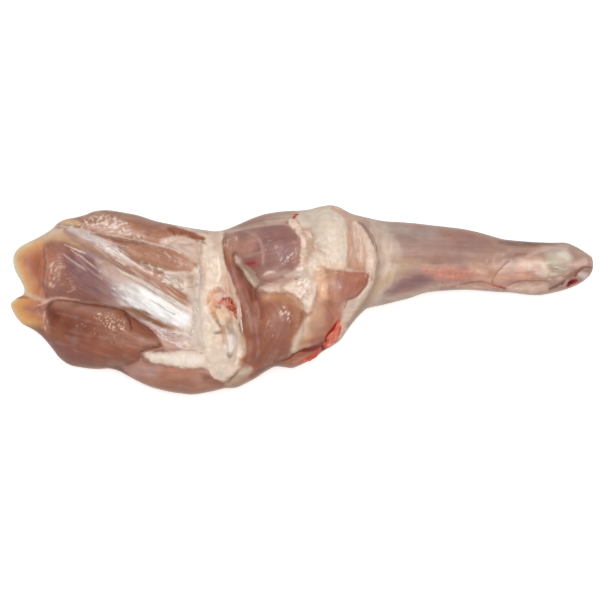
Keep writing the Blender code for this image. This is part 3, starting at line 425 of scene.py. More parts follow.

# creases, cut edges, ridges and blood; the dark lines along creases and folds are painted shade over their
# grooves
marks = [
    # blade
    line("#D4A796", 0.85, -0.3, (-162, -3.5, 0.4), (-157, -1.2, 1), (-151, 1, 0.7), (-144, 1, 0.5),
        (-136, -0.4, 0.4), soft=1),
    # painted shadow cast by the lower muscle's raised edge, over its groove
    line("#64402F", 0.7, 0.8, (-156, -4, 0.6), (-150, -0.6, 0.4), (-142, -0.8, 0.4), (-134, -2, 0.5),
        (-125, -3.4, 0.5), (-116, -4.6, 0.5), (-108.5, -6.2, 0.6), (-104.5, -9.8, 0.6), (-97, -14.4, 0.4),
        (-90, -19, 0.4)),
    line("#6E4636", 0.7, 0.8, (-84.5, -27.8, 0.4), (-91, -29.2, 0.5), (-97, -31, 0.5)),
    line("#6A2A20", 0.8, 0.3, (-107, -9, 0.5), (-104, -13, 0.6), (-103, -17.5, 0.8)),
    # the membrane edge of the muscle, partly painted highlight along its lit rim
    line("#CDA08E", 0.35, -0.2, (-157.4, 33, 0.5), (-155.8, 26, 0.7), (-155.6, 20, 0.7), (-156.8, 12, 0.6),
        (-157.4, 5, 0.4), soft=1),
    line("#8F5240", 0.25, 0.25, (-158.6, 32, 0.3), (-157.4, 21, 0.5), (-158.6, 10, 0.4), soft=1),
    line("#EAD6CA", 0.9, -0.2, (-145, 33.8, 0.2), (-138, 31, 0.5), (-132, 28.6, 0.3)),
    line("#DCC6C0", 0.9, -0.15, (-141, 31, 0.2), (-134, 26, 0.35), (-128, 21.5, 0.3), (-122, 17, 0.2)),
    line("#D8BFB8", 0.8, -0.15, (-145.5, 28, 0.25), (-139, 23, 0.4), (-132, 18.5, 0.3)),
    line("#CBB0AB", 0.7, -0.1, (-138, 25.5, 0.2), (-129, 18.5, 0.35), (-121, 13, 0.3)),
    line("#6E4B47", 0.5, 0.2, (-142, 28, 0.2), (-134, 22.5, 0.35), (-125, 16, 0.2)),
    line("#E4D8CE", 0.5, -0.2, (-158, 41.8, 0.5), (-150, 45.4, 0.7), (-143, 44.6, 0.6), (-136, 43, 0.5),
        soft=1.2),
    line("#8A6552", 0.6, 0.5, (-150, 46.4, 0.3), (-143, 46, 0.4), (-135, 44.6, 0.4), (-124, 41.3, 0.4)),
    line("#E3CBB2", 0.7, -0.2, (-171, 4, 0.4), (-166, 2.4, 1.2), (-161, 0.6, 1), (-157, -1.4, 0.5), soft=3.4),
    # far edge and lens
    line("#DCCAC4", 0.8, -0.2, (-130, 40.6, 0.3), (-122, 37.4, 0.4), (-114, 34.4, 0.3), (-105, 32, 0.3)),
    line("#8B6450", 0.7, 0.5, (-128, 40.4, 0.4), (-118, 37.9, 0.6), (-108, 35.6, 0.6), (-97, 34.4, 0.5),
        (-90, 34.4, 0.3)),
    line("#E8CFC3", 0.9, -0.25, (-118, 39.8, 0.3), (-108, 38, 0.4), (-98, 35.9, 0.5), (-88, 33.8, 0.5),
        (-80, 31.6, 0.5), (-73, 28.6, 0.4)),
    line("#8D6450", 0.5, 0.4, (-100, 24, 0.3), (-90, 20.8, 0.4), (-80, 18, 0.4)),
    line("#8D6A57", 0.6, 0.4, (-118, 24.5, 0.3), (-108, 18, 0.4), (-99, 14.5, 0.4)),
    line("#8A5F4C", 0.5, 0.4, (-97, 13.6, 0.3), (-88, 8.4, 0.4), (-79, 3, 0.4), (-70, -2.8, 0.4)),
    line("#B59A8E", 0.5, 0.4, (-102, 11.6, 0.3), (-91, 5.4, 0.5), (-81, -0.4, 0.5), (-72, -6.6, 0.4)),
    line("#A39C9B", 0.7, 0.2, (-92, 0.5, 0.2), (-85, -4, 0.35), (-78, -8, 0.3)),
    line("#4A4242", 0.8, 0, (-77.3, -8.3, 0.4), (-76.8, -8.6, 0.4)),
    line("#EFDDD8", 0.8, -0.2, (-96, -12.6, 0.3), (-88, -16.8, 0.7), (-79, -20.5, 0.5), (-71, -22, 0.4)),
    line("#B98F88", 0.6, 0.2, (-93, -16, 0.3), (-85, -21, 0.5), (-76, -23.5, 0.4)),
    line("#EBD5CF", 0.7, -0.2, (-87, -21.5, 0.3), (-80, -25, 0.5), (-71, -26, 0.4)),
    line("#9E877B", 0.6, 0.4, (-84, -28.8, 0.4), (-76, -29.6, 0.5), (-70, -30.4, 0.4), (-63, -30.4, 0.3)),
    line("#7A665C", 0.6, 0.3, (-61, -31.5, 0.4), (-59.6, -32.2, 0.5)),
    line("#8C7468", 0.8, 0.3, (-74.6, 12.5, 0.35), (-74.2, 9.5, 0.4), (-73.4, 7, 0.35), (-71.6, 6.4, 0.3)),
    line("#A1857A", 0.6, 0.4, (-73, 11, 0.3), (-70, 8.5, 0.4), (-66, 8, 0.4), (-62, 9.6, 0.3)),
    line("#93796B", 0.65, 0.5, (-64.5, 22, 0.4), (-61.6, 18, 0.5), (-60, 13.5, 0.5), (-60.4, 9.6, 0.4)),
    line("#7C2F1E", 0.8, 0.3, (-79.6, 43.2, 0.6), (-77.6, 41, 0.7), (-76.4, 38.6, 0.4)),
    line("#7A4A37", 0.6, 0.5, (-78, 40, 0.3), (-70, 38.4, 0.4), (-61, 35.2, 0.5), (-57.5, 33.8, 0.6)),
    # fat band: ridge, bloody cut, clefts, tendon
    # the fat band's ridge, its pale crest partly painted highlight
    line("#FBEEDF", 0.8, -0.5, (-49.8, 11, 0.5), (-48.8, 15, 0.9), (-49.2, 21, 0.7), (-50, 26, 0.4), soft=1),
    line("#F1E2D3", 0.6, -0.3, (-55, 30, 0.4), (-54, 22, 0.5), (-54.6, 14, 0.4), soft=1),
    line("#D49B76", 0.9, 0.1, (-50, 6.6, 1.4), (-53, 3, 2.2), (-53.4, -2, 2.8), (-52.2, -8, 2.4),
        (-50, -12, 1.4), soft=3),
    line("#BE8C76", 0.85, 0.3, (-51, 5.4, 1), (-49, 5.8, 1.7), (-46.6, 4.6, 0.8), soft=2),
    line("#D98C76", 0.9, 0.2, (-50, -2, 1.4), (-46.6, -1.2, 2.4), (-43, -1.8, 2.8), (-40.2, -5.6, 2.2),
        (-38.8, -10, 1.2), soft=2.2),
    line("#E6C6A8", 0.95, -0.8, (-49.4, -7.4, 1.8), (-46.6, -8.6, 3.4), (-44, -9.6, 2.4), soft=1.8),
    line("#9C3424", 0.85, 0.4, (-46.6, 0.8, 0.4), (-44.2, 0.9, 0.8), (-42.6, -0.6, 1), (-41.8, -2.6, 0.6),
        kind=blood, soft=1.1),
    line("#A94A36", 0.8, 0.3, (-45.6, -3.4, 0.4), (-43.8, -4.6, 0.7), (-42, -3.8, 0.7), kind=blood, soft=0.9),
    line("#9A5438", 0.85, 0.3, (-50.8, -3.8, 0.8), (-48.8, -4.2, 1.1), soft=1.2),
    line("#A84C3B", 0.85, 0.3, (-41, -4.4, 0.7), (-39.6, -7, 0.9), (-38.4, -10.4, 0.9), kind=blood, soft=1.2),
    line("#705A48", 0.8, 0.8, (-52.6, -20.2, 0.3), (-50, -20, 0.7), (-47.4, -19.4, 0.9), soft=1.2),
    line("#705846", 0.9, 1.1, (-52.8, -8, 0.4), (-50.8, -12, 0.7), (-48.4, -15.2, 0.6), (-46.8, -17.4, 0.9),
        (-47.6, -19.6, 0.9), soft=0.9),
    line("#A28C7E", 0.6, 0.5, (-46.4, -19, 0.4), (-45.8, -23, 0.4), (-45, -27, 0.3)),
    line("#8F7A6A", 0.6, 0.5, (-42.6, -12.5, 0.3), (-43.2, -16, 0.4), (-45, -19, 0.3)),
    line("#E3D0BF", 0.8, -0.4, (-46.4, -12.6, 0.6), (-45, -15, 0.9), (-44.6, -19.6, 0.8), soft=1),
    line("#C7A089", 0.85, 0, (-43, -11.6, 1.6), (-44, -15, 2.4), (-46.6, -18, 1.6), (-46, -20, 2.2),
        (-46.4, -25, 1.2), soft=3),
    line("#D0C4BB", 0.85, -0.3, (-42, -15.5, 1.4), (-41.4, -20, 3), (-41.6, -26, 3.7), (-43, -31.5, 2.2),
        soft=3, kind=silver),
    line("#AFA08D", 0.7, 0.3, (-43.4, -15.6, 0.9), (-42, -18.4, 1.5), (-41.4, -20.6, 0.8), soft=2),
    line("#A9A09C", 0.6, 0.2, (-39.4, -17, 0.6), (-38.8, -23, 0.9), (-39.6, -28.5, 0.6), soft=2),
    # painted highlight on the tendon's silverskin
    line("#EDE0DA", 0.9, -0.5, (-41.6, -21.6, 1.2), (-41.2, -25.6, 2.7), (-42.4, -30, 1.5), soft=2.4,
        kind=silver),
    line("#8F7D6D", 0.75, 0.6, (-44.4, -32.4, 0.6), (-43, -34, 1.1), (-41.8, -33, 0.6), soft=1.4),
    line("#F1D5C6", 0.85, -0.3, (-38.4, 2, 0.5), (-37.2, -4, 0.8), (-36.6, -10, 0.7), (-37.2, -13, 0.4)),
    line("#F0D6C8", 0.8, -0.2, (-36, -16, 0.4), (-35.5, -20, 0.5)),
    line("#B97F55", 0.8, 0.2, (-35.4, -33.4, 0.7), (-36, -36.6, 1.2), (-37.2, -39.6, 0.6), soft=1.8),
    line("#D5B28F", 0.75, 0, (-35.4, -21, 0.6), (-34.6, -25, 1.1), (-34, -28.4, 0.6), soft=2),
    line("#7D6A5E", 0.7, 0.7, (-44, -50, 0.5), (-41, -46.6, 0.7), (-38, -44, 0.5)),
    # the slit and the domes
    # painted shade in the slit's fold, over its groove
    line("#734638", 0.7, 0.9, (-40, 28, 0.4), (-40.4, 24, 0.8), (-37, 18.8, 0.8), (-33.6, 13, 0.8),
        (-30.4, 7.8, 0.5), soft=1.6),
    line("#8A5546", 0.4, 0.3, (-30.4, 7, 0.5), (-29, 2, 0.5), soft=1.6),
    line("#7E584A", 0.6, 0.5, (-47.4, 36, 0.4), (-46.6, 30, 0.6), (-45.8, 25, 0.4)),
    line("#C9A899", 0.75, -0.25, (-45, 40.6, 0.4), (-34, 43.4, 0.6), (-24, 45, 0.7), (-14, 46, 0.6),
        (-6, 45, 0.5), soft=0.9),
    line("#8B6A5B", 0.5, 0.3, (-44, 42.6, 0.3), (-34, 46, 0.4), (-22, 48.5, 0.4), (-10, 50, 0.3)),
    line("#BC9A92", 0.7, -0.25, (-33, 41.6, 0.5), (-28, 39, 0.8), (-24.4, 34.5, 0.9), (-22.6, 28, 0.8),
        (-23, 21, 0.5), soft=1.4),
    line("#9E4F55", 0.85, 0, (-33.4, 22.4, 0.9), (-29.6, 22.6, 2.6), (-25.8, 22, 1.2), soft=3.4),
    # a strip of fat in the slit, tinted lighter to offset the hollow's shade: painted light
    line("#CDBBA8", 0.85, -0.1, (-33.8, 19.2, 1.2), (-31, 15.8, 2.8), (-28.9, 11.8, 2.4), (-27.8, 9, 1),
        soft=2),
    line("#862F38", 0.8, 0, (-31.4, 22, 0.6), (-28.4, 22.8, 0.9), soft=1.4),
    line("#D5BCB0", 0.85, -0.2, (-39, 25.4, 0.9), (-37.6, 23.8, 1.6), soft=1.8),
    # a painted glint on the dome
    line("#E9D5CC", 0.9, -0.1, (-22, 14.6, 0.6), (-19.6, 15.8, 1), (-17.6, 16.4, 0.7), soft=0.9),
    line("#5B2F23", 0.85, 1.0, (-12, -37, 0.3), (-8, -35.6, 0.5), (-4, -32.6, 0.5), (1, -30.4, 0.5),
        (6, -29, 0.5), (11, -27.8, 0.3)),
    line("#6A4233", 0.6, 0.4, (1, -31, 0.5), (5, -30.6, 0.7), soft=0.8),
    line("#A2321F", 0.9, 0.3, (-4.6, 49.4, 0.6), (-3.2, 51.2, 0.7), (-1.8, 52.6, 0.6), kind=blood),
    line("#DBA493", 0.5, 0, (-6, 50, 0.8), (-3, 52, 1.4), (0, 53, 0.8), soft=1.4),
    line("#6E5348", 0.8, 0.4, (-3.4, 12.4, 0.4), (-1.6, 13, 0.7)),
    line("#B58C78", 0.6, 0.2, (5.6, 43, 0.4), (7, 38, 0.7), (7, 30, 0.8), (6, 24, 0.4), soft=2.4),
    line("#9A8876", 0.6, 0.3, (-3.2, 48.6, 0.3), (-0.6, 45, 0.5), (1.6, 42, 0.4), soft=1),
    # the next six ridges: lumps of fat at the dome's margin, their pale tint partly a painted glint
    line("#F5DACF", 0.9, -0.5, (-2.6, 41.2, 0.7), (-1.3, 40.4, 1.5), (-0.2, 39.6, 0.6), soft=1),
    line("#F5DACF", 0.9, -0.5, (3, 40.8, 0.6), (4.6, 39.2, 1.2), (6, 37.6, 0.5), soft=1),
    line("#F3D6C9", 0.9, -0.5, (0.8, 37, 0.7), (1.4, 34.8, 1.4), (2, 32.4, 0.7), soft=1),
    line("#E8CCB9", 0.85, -0.3, (-0.2, 27.2, 0.6), (0.8, 26, 0.7), soft=1),
    line("#EDD4C0", 0.85, -0.3, (0.4, 21.2, 0.7), (1.2, 19.6, 1), soft=1),
    line("#E3C6BA", 0.8, -0.3, (-6, 47.6, 0.5), (-4.6, 45.8, 0.9), soft=1.2),
    line("#BD8078", 0.7, 0, (-4.6, 36, 0.5), (-3.6, 34.8, 0.9), soft=1.4),
    # collar, elbow, vessel
    # the next three lines: painted shadow in the crease beside the collar, paler lower down, and under the
    # elbow patch's raised right edge, over their grooves
    line("#84695A", 0.85, 0.6, (34.5, 47, 0.4), (38, 44, 0.9), (41, 40.2, 1.1), (43.6, 35.6, 1),
        (45.2, 30, 0.6), soft=1.4),
    line("#B4937F", 0.7, 0.4, (45.4, 30, 0.6), (46.2, 24, 0.8), (45.4, 16, 0.8), (43.8, 8, 0.8), (41.7, 2, 0.6),
        soft=1.8),
    line("#8D5B49", 0.75, 0.6, (40.6, 15.8, 0.4), (39.4, 10, 0.6), (36.6, 5.6, 0.6), (32, 2, 0.5),
        (28, 0.3, 0.4), (26.4, -5, 0.3)),
    line("#ECD3C4", 0.8, -0.35, (42, 15.6, 0.4), (40.8, 10, 0.5), (37.8, 4.8, 0.6), (33.6, 0.8, 0.4)),
    line("#E8C8B4", 0.6, -0.2, (16, 18.8, 0.3), (24, 18.4, 0.5), (32, 17.6, 0.7), (40, 16.8, 0.4)),
    line("#D99A80", 0.6, 0, (32.4, 45, 0.6), (33, 42.5, 1), soft=1.2),
    line("#A9553F", 0.6, 0, (16.5, 6, 0.4), (17.4, 4, 0.4), soft=0.8),
    line("#7C2C22", 0.95, 0.3, (13, -25.8, 1), (9.4, -28.8, 1.7), (3, -30.8, 1.1), (-1, -31.4, 0.6), soft=2),
    line("#D65A47", 0.95, -0.4, (22.9, -11.8, 0.3), (21.8, -16.6, 2.2), (19.2, -22.4, 3.7), (16, -27.6, 2.7),
        (11, -32.4, 2.4), (5, -36, 1.8), (0.5, -38.4, 0.8), kind=blood, soft=1.5),
    # the vessel's salmon flesh, its palest streak partly painted highlight
    line("#F2B09A", 0.85, -0.2, (24, -14.4, 0.8), (22.8, -19.6, 1.8), (20.4, -24.4, 1.6), (17, -27.6, 0.7),
        kind=blood, soft=1.8),
    line("#D2B09A", 0.9, 0, (26.6, -15, 0.8), (26, -20, 1.2), (24.2, -24.6, 0.9), soft=1),
    line("#E27F69", 0.7, -0.2, (11, -32.8, 0.7), (6, -35.8, 0.9), (2, -37.8, 0.6), kind=blood, soft=1.2),
    line("#8C2015", 0.92, 0.7, (22.4, -13.2, 0.4), (19.6, -16.6, 0.8), (16.9, -21, 1.3), (14.9, -24.8, 0.8),
        kind=blood, soft=1.2),
    line("#740002", 1, 2, (13, -28, 0.9), (14, -30, 1.7), (15, -31.4, 1.5), kind=blood, soft=0.7),
    # shank and knuckle
    line("#6D4038", 0.7, 0.2, (86, 11.2, 0.4), (86.6, 10.4, 0.5), soft=0.8),
    line("#8B6456", 0.75, 0.5, (92, 7.8, 0.4), (99, 10, 0.5), (106, 11.3, 0.5), (111, 11.3, 0.4),
        (115, 10, 0.3)),
    line("#9A6B5B", 0.7, 0.5, (116, 12.5, 0.3), (120, 17.5, 0.5), (123.4, 21, 0.5), (127, 23.8, 0.4)),
    line("#A9584A", 0.75, 0.3, (116.8, 12.4, 0.4), (116.6, 9.8, 0.6), (120, 8.4, 0.7), (124.6, 7.4, 0.9),
        soft=0.9),
    line("#7C2A22", 0.6, 0.2, (122, 8, 0.5), (124.6, 7, 0.5), soft=0.7),
    line("#8E5F50", 0.75, 0.6, (126, 9, 0.3), (130, 10.4, 0.4), (136, 11.8, 0.5), (142, 11.6, 0.4),
        (150, 12, 0.3)),
    line("#C07A69", 0.6, 0.2, (131, 16.2, 0.5), (136, 16, 0.6), (142, 14.6, 0.5), soft=1.6),
    line("#A9705F", 0.6, 0.3, (140, 13.2, 0.3), (147, 13.6, 0.4), (153, 13.8, 0.3), soft=0.9),
    line("#8F7065", 0.6, 0.3, (123, 34.4, 0.4), (134, 33.2, 0.5), (146, 32.4, 0.4), soft=0.9),
    line("#8A6458", 0.55, 0.2, (130, 27.4, 0.6), (133, 27.6, 1), (137, 28.6, 0.5), soft=1.6),
    line("#DCC6BA", 0.45, -0.2, (138, 26.6, 0.4), (145, 29.8, 0.5), (154, 31.4, 0.5), (163, 31, 0.4), soft=1.8),
    line("#A08472", 0.6, 0.5, (152, 19.4, 0.3), (157, 18.6, 0.4), (164, 19, 0.3)),
    line("#745040", 0.8, 0.7, (152, 6.8, 0.6), (155.5, 8, 0.9), (158.5, 10.4, 0.6), (161.5, 13.2, 0.4),
        soft=0.8),
    line("#5C3A2E", 0.8, 0.5, (159.6, 10, 0.5), (161.4, 11.6, 0.6), (163, 13, 0.4)),
    line("#8F7364", 0.6, 0.5, (153, 13.2, 0.3), (157, 14.6, 0.4), (161, 16.4, 0.3)),
    line("#835441", 0.85, 0.9, (179.6, 20, 0.5), (174, 20.4, 0.7), (170.2, 18.6, 0.9), (168, 15, 0.8),
        soft=0.9),
    # the next two lines: painted shade along the knuckle's outline
    line("#85695C", 0.7, 0.2, (178.4, 27.4, 0.5), (179.9, 24, 0.6), (180, 19.5, 0.5), soft=1),
    line("#A38B7A", 0.6, 0.1, (164, 34.8, 0.4), (171, 32, 0.5), (177, 28.4, 0.4), soft=1.2),
    line("#96685A", 0.75, 0, (160, 15, 0.8), (165, 15.4, 1.5), (168.6, 17.4, 0.8), soft=2.6),
    line("#D3A39B", 0.7, 0, (161, 9.4, 0.7), (163.4, 12.4, 1), soft=1.6),
    line("#B4544C", 0.7, 0.1, (163.2, 8.6, 0.9), (166, 9.8, 1.4), (170.2, 11.4, 0.9), soft=1.8),
    line("#8E1014", 0.95, 0.3, (163.8, 9.4, 0.9), (165.4, 11.2, 1.1), (168, 11.8, 1), (169.6, 11.2, 0.5),
        kind=blood, soft=0.9),
    line("#6C0204", 0.98, 1, (164.2, 8.8, 0.8), (164.9, 10.2, 1), (167, 11.3, 0.5), kind=blood, soft=0.7),
]

# painted shade along the shank's far outline, then the outer side's spine of the blade, elbow fat and tendons
outerMarks = [
    band("#937A6F", 6, 0.75, (84, 44.4, 0.5), (100, 42.6, 1), (118, 38.8, 1.6), (134, 36.4, 2),
        (150, 35.8, 1.8), (162, 35.4, 0.6)),
    band("#E4D3C4", 2.5, 1, (-174, 22, 1.5), (-150, 25, 2.2), (-120, 24, 2.4), (-90, 21, 2), (-66, 18, 1.2),
        kind=gristle),
    band("#DED6D4", 5, 0.7, (-150, 8, 1), (-125, 7, 4), (-100, 6, 3), (-78, 8, 1), kind=silver),
    band("#DFCDBE", 5, 0.85, (-110, -12, 2), (-84, -8, 4), (-62, -4, 4), kind=fat),
    band("#DCCABA", 5, 0.85, (10, -28, 3), (22, -10, 5), (34, 2, 4), kind=fat),
    band("#DDD3CE", 3, 0.7, (70, 18, 1), (100, 17, 1.6), (130, 16, 1.4), (150, 15, 1), kind=silver),
    band("#D9CABC", 5, 0.8, (140, 20, 4), (156, 19, 6), (172, 19, 4), kind=gristle),
]

# fibres, flecks of torn fascia, and painted glints: pale strokes standing in for highlights on the wet film
strokesAndPaintedGlints = [
    strokes("#93644F", 0.4, -9, 2.2, 4, 0.1, (-136, 49, 3), (-118, 50, 4), (-100, 47, 5), (-84, 43, 4),
        seed=6.6),
    strokes("#C59A82", 0.45, -9, 1.8, 4, 0.12, (-128, 44, 2), (-106, 45, 5), (-88, 41, 4), seed=1.9),
    # fascia strands; the white, wet row is also a painted highlight on them
    strokes("#FFF6F1", 0.85, -40, 1.3, 2.4, 0, (-124, 35, 1.5), (-114, 30.5, 3.2), (-107, 26, 2), seed=7.1,
        wet=1),
    strokes("#A9866F", 0.5, -36, 1.2, 6, 0.06, (-126, 29, 1.5), (-112, 22, 3), (-100, 15, 3), seed=2.2),
    strokes("#F0DFD4", 0.36, -36, 0.9, 9, 0.08, (-124, 33, 2), (-108, 23.5, 5), (-92, 12.5, 6), (-76, 2, 6),
        (-65, -5, 4)),
    strokes("#946E5D", 0.26, -36, 0.9, 8, 0.14, (-124, 33, 2), (-108, 23.5, 5), (-92, 12.5, 6), (-76, 2, 6),
        (-65, -5, 4), seed=7.7),
    strokes("#A59DA4", 0.26, -33, 1.2, 8, 0.12, (-116, 8, 5), (-100, 0, 6), (-84, -9, 6), (-70, -16, 4),
        seed=3.2),
    strokes("#FFFFFF", 0.8, -33, 1, 7, 0.1, (-112, 6, 3), (-98, -1, 4), (-84, -9, 4), (-70, -15, 3), seed=4.6),
    strokes("#F1E0DB", 0.75, -24, 1, 3, 0.08, (-92, -14, 1), (-84, -19.4, 2.6), (-74, -24.4, 4.6),
        (-66, -24, 4), seed=5.1),
    strokes("#B98B82", 0.3, -22, 1, 3, 0.16, (-92, -15, 1), (-84, -20, 3), (-74, -25, 4), seed=6.3),
    strokes("#EFE0D4", 0.6, 60, 1.3, 1.8, 0.1, (-70, -24, 4), (-64, -12, 4), (-62, 4, 3), (-60, 18, 3),
        (-60, 30, 3), seed=8.1),
    # painted glints: pale strokes standing in for highlights on the wet film, with darker tissue strokes among
    # them
    strokes("#F2DED4", 0.8, 8, 1.35, 1.3, -0.04, (-131, 47.5, 2.4), (-124, 47.5, 4.2), (-116, 46.5, 4.6),
        (-109, 44.6, 4.4), wet=1),
    strokes("#F3E2D9", 0.7, 0, 1, 4.5, -0.02, (-128, 43.8, 2), (-116, 43, 3), (-105, 42, 2.6), wet=1, seed=3.3),
    strokes("#E6CDBE", 0.7, 112, 1, 2.2, 0.12, (-104, 40, 3), (-97, 39, 2.6), wet=1),
    strokes("#EAD8C8", 0.75, 20, 1, 3, 0.1, (-141, 45.5, 1.5), (-134, 45, 1.5), wet=1),
    strokes("#D3AE9C", 0.4, -12, 0.9, 4, 0.16, (-112, 35, 1), (-102, 31, 2.5), (-86, 27, 3), seed=2.4),
    strokes("#F5E2D7", 0.75, -30, 2, 1.4, 0.05, (-95, 21.5, 2), (-87, 17, 3.4), (-77, 12, 4), (-68, 10, 4),
        wet=1),
    strokes("#E2C6B8", 0.5, -35, 1.2, 2.5, 0.2, (-80, 27, 3), (-70, 21, 4), wet=0.6),
    strokes("#DDBBAB", 0.85, 60, 1.2, 2.2, 0.02, (-152.5, 22, 1.6), (-151, 15, 3.4), (-153, 9, 1.6), wet=1),
    strokes("#CDA699", 0.5, 0, 0.8, 5, 0.2, (-147, 27, 3), (-146, 14, 4), (-140, 6, 4), wet=0.5, seed=9.2),
    strokes("#E3B8A8", 0.8, 78, 0.9, 2.5, 0.06, (-160, -5, 1.6), (-158, -11, 2.4), (-157, -17, 1.6), wet=1),
    strokes("#A98064", 0.45, 10, 1.3, 1.4, 0.06, (-126, -9, 2), (-117, -12, 4.4), (-109, -14.6, 3.4), seed=1.7),
    strokes("#E8C3A8", 0.85, 30, 0.8, 1.4, 0.1, (-124, -9.4, 2), (-117, -12.5, 4.4), (-109, -16, 4), wet=1),
    strokes("#DDB5A4", 0.5, 10, 0.9, 1.6, 0.42, (-141, -12, 2), (-128, -18, 3), (-110, -27, 3.5), wet=0.7),
    strokes("#DFC3B8", 0.7, 70, 1, 2, 0.2, (-46, 33, 3), (-40, 37, 3), wet=1),
    strokes("#E9D3CB", 0.75, 68, 0.95, 2.4, 0.16, (-17, 17, 1.4), (-12, 21, 2.2), (-7, 27, 2.2), (-5, 33, 1.6),
        wet=1),
    strokes("#D2B3AC", 0.4, 20, 1.2, 2.5, 0.3, (-30, 32, 5), (-14, 34, 5), wet=0.5),
    strokes("#FAF1EA", 0.85, 55, 1.4, 1.4, -0.02, (0, 19, 2.4), (1, 12, 5), (2, 3, 4), wet=1),
    strokes("#EED8CB", 0.6, 40, 1.3, 1.4, 0.2, (-4, 45.6, 2), (0, 40, 2.6), (1.6, 32, 2), (0.6, 22, 2), wet=1,
        seed=2.7),
    strokes("#B99783", 0.5, 40, 1.2, 1.3, 0.2, (-5, 46, 2), (0, 38, 2.6), (2, 28, 2.6), (2, 14, 4), (2, 2, 3),
        seed=6.8),
    strokes("#D69A7C", 0.55, 80, 0.9, 2, 0.12, (12, 16, 2), (14, 6, 3), (14, -3, 2), seed=3.9),
    strokes("#F8EEE6", 0.7, 50, 1.1, 2, 0.2, (17, 54, 3), (23, 50, 2.5), wet=1),
    strokes("#EACFC1", 0.9, 60, 1.1, 2.2, 0.04, (-12, -5, 2.4), (-8, -10.5, 2.6), wet=1),
    strokes("#D3AB9D", 0.7, 75, 0.9, 2.5, 0.15, (-19, -14, 2), (-17, -20, 2), wet=1),
    strokes("#F3CDBB", 0.8, 30, 1.4, 1.2, 0.12, (-50, 3, 3), (-44, -3, 4), (-40, -9, 2.4), wet=1),
    strokes("#A8402E", 0.6, 70, 1.2, 1.3, 0.14, (-48, -1, 2), (-44, -1.5, 3), (-40, -7, 2.2), seed=8.8),
    strokes("#F6B3A0", 0.6, 50, 0.9, 2, 0.16, (18, -25.5, 1.6), (22, -19.6, 1.8), wet=1),
    strokes("#DDA898", 0.5, 80, 1.2, 3, 0.12, (78, 18.6, 2), (92, 16.5, 3.4), (106, 17.6, 2.6), seed=4.1),
    strokes("#AE776B", 0.35, 60, 2.2, 1.8, 0.14, (76, 18, 2), (92, 17, 4), (106, 18, 2.6), seed=7.4),
    strokes("#EDDDD2", 0.5, 20, 1.8, 1.6, 0.16, (86, 16, 2), (93, 17, 2), seed=1.1, wet=1),
    strokes("#E9DACE", 0.35, 10, 1.6, 2.2, 0.16, (128, 21, 3), (140, 20, 3.5), (152, 15, 4), wet=1),
    strokes("#EBE2DA", 0.4, 20, 1.6, 1.8, 0.18, (156, 27, 2.4), (163, 26, 2.4), wet=1),
    strokes("#EAD7CB", 0.35, 70, 1.4, 2, 0.16, (113, 22, 3), (124, 26, 3), wet=1),
    strokes("#96796A", 0.25, 25, 1, 3, 0.16, (150, 15, 2.4), (158, 13, 3.4), (165, 16, 2), seed=5.8),
    strokes("#E9D4C8", 0.45, 5, 1, 4, 0.15, (96, 8, 1.6), (112, 8, 1.6), (128, 7, 1.6), (142, 7, 2), wet=0.6),
    strokes("#98756C", 0.18, -3, 1.4, 6, 0.14, (56, 38, 6), (80, 34, 9), (108, 31, 7), (130, 30, 4), seed=2.9),
]


def linearColour(hexCode):
    # sRGB hex to linear
    parts = [int(hexCode[i:i + 2], 16) / 255 for i in (1, 3, 5)]
    return [c / 12.92 if c <= 0.04045 else ((c + 0.055) / 1.055) ** 2.4 for c in parts]


def smoothLine(points, count):
    # even samples of a smooth curve through rows of points
    points = np.array(points, float)
    padded = np.concatenate([[2 * points[0] - points[1]], points, [2 * points[-1] - points[-2]]])
    step = np.linspace(0, len(points) - 1, 24 * len(points))
    i = np.minimum(step.astype(int), len(points) - 2)
    t = (step - i)[:, None]
    a, b, c, d = (padded[i + k] for k in range(4))
    fine = b + 0.5 * t * (c - a + t * (2 * a - 5 * b + 4 * c - d + t * (3 * (b - c) + d - a)))
    run = np.concatenate([[0], np.cumsum(np.linalg.norm(np.diff(fine[:, :2], axis=0), axis=1))])
    even = np.linspace(0, run[-1], count)
    return np.column_stack([np.interp(even, run, column) for column in fine.T])


def smoothLoop(points, step):
    # a closed smooth curve, about step between points
    lap = len(points)
    fine = smoothLine([*points[-2:], *points, *points[:3]], 40 * lap)
    first, last = (np.argmin(np.hypot(*(fine[part] - np.array(points[0], float)).T)) + part.start
                   for part in (slice(0, 14 * lap), slice(26 * lap, 40 * lap)))
    fine = fine[first:last + 1]
    run = np.concatenate([[0], np.cumsum(np.linalg.norm(np.diff(fine, axis=0), axis=1))])
    even = np.linspace(0, run[-1], max(int(run[-1] / step), 8) + 1)[:-1]
    return np.column_stack([np.interp(even, run, fine[:, k]) for k in (0, 1)])


def nearLine(x, y, line):
    # distance from a line of points, place along it, distance run along it and signed offset from it
    gap = np.full(x.shape, 1e9)
    place, along, across = np.zeros(x.shape), np.zeros(x.shape), np.zeros(x.shape)
    run = 0
    for i, (start, end) in enumerate(zip(line[:-1], line[1:])):
        way = end[:2] - start[:2]
        length = max(np.hypot(*way), 1e-9)
        way = way / length
        dx, dy = x - start[0], y - start[1]
        ahead, side = dx * way[0] + dy * way[1], dy * way[0] - dx * way[1]
        t = np.clip(ahead, 0, length)
        here = np.hypot(ahead - t, side)
        closer = here < gap
        gap[closer] = here[closer]
        place[closer] = i + t[closer] / length
        along[closer] = run + ahead[closer]
        across[closer] = side[closer]
        run += length
    return gap, place, along, across


def valueAt(line, place, column):
    # one column of the line at places along it, as nearLine gives them
    return np.interp(place, np.arange(len(line)), line[:, column])


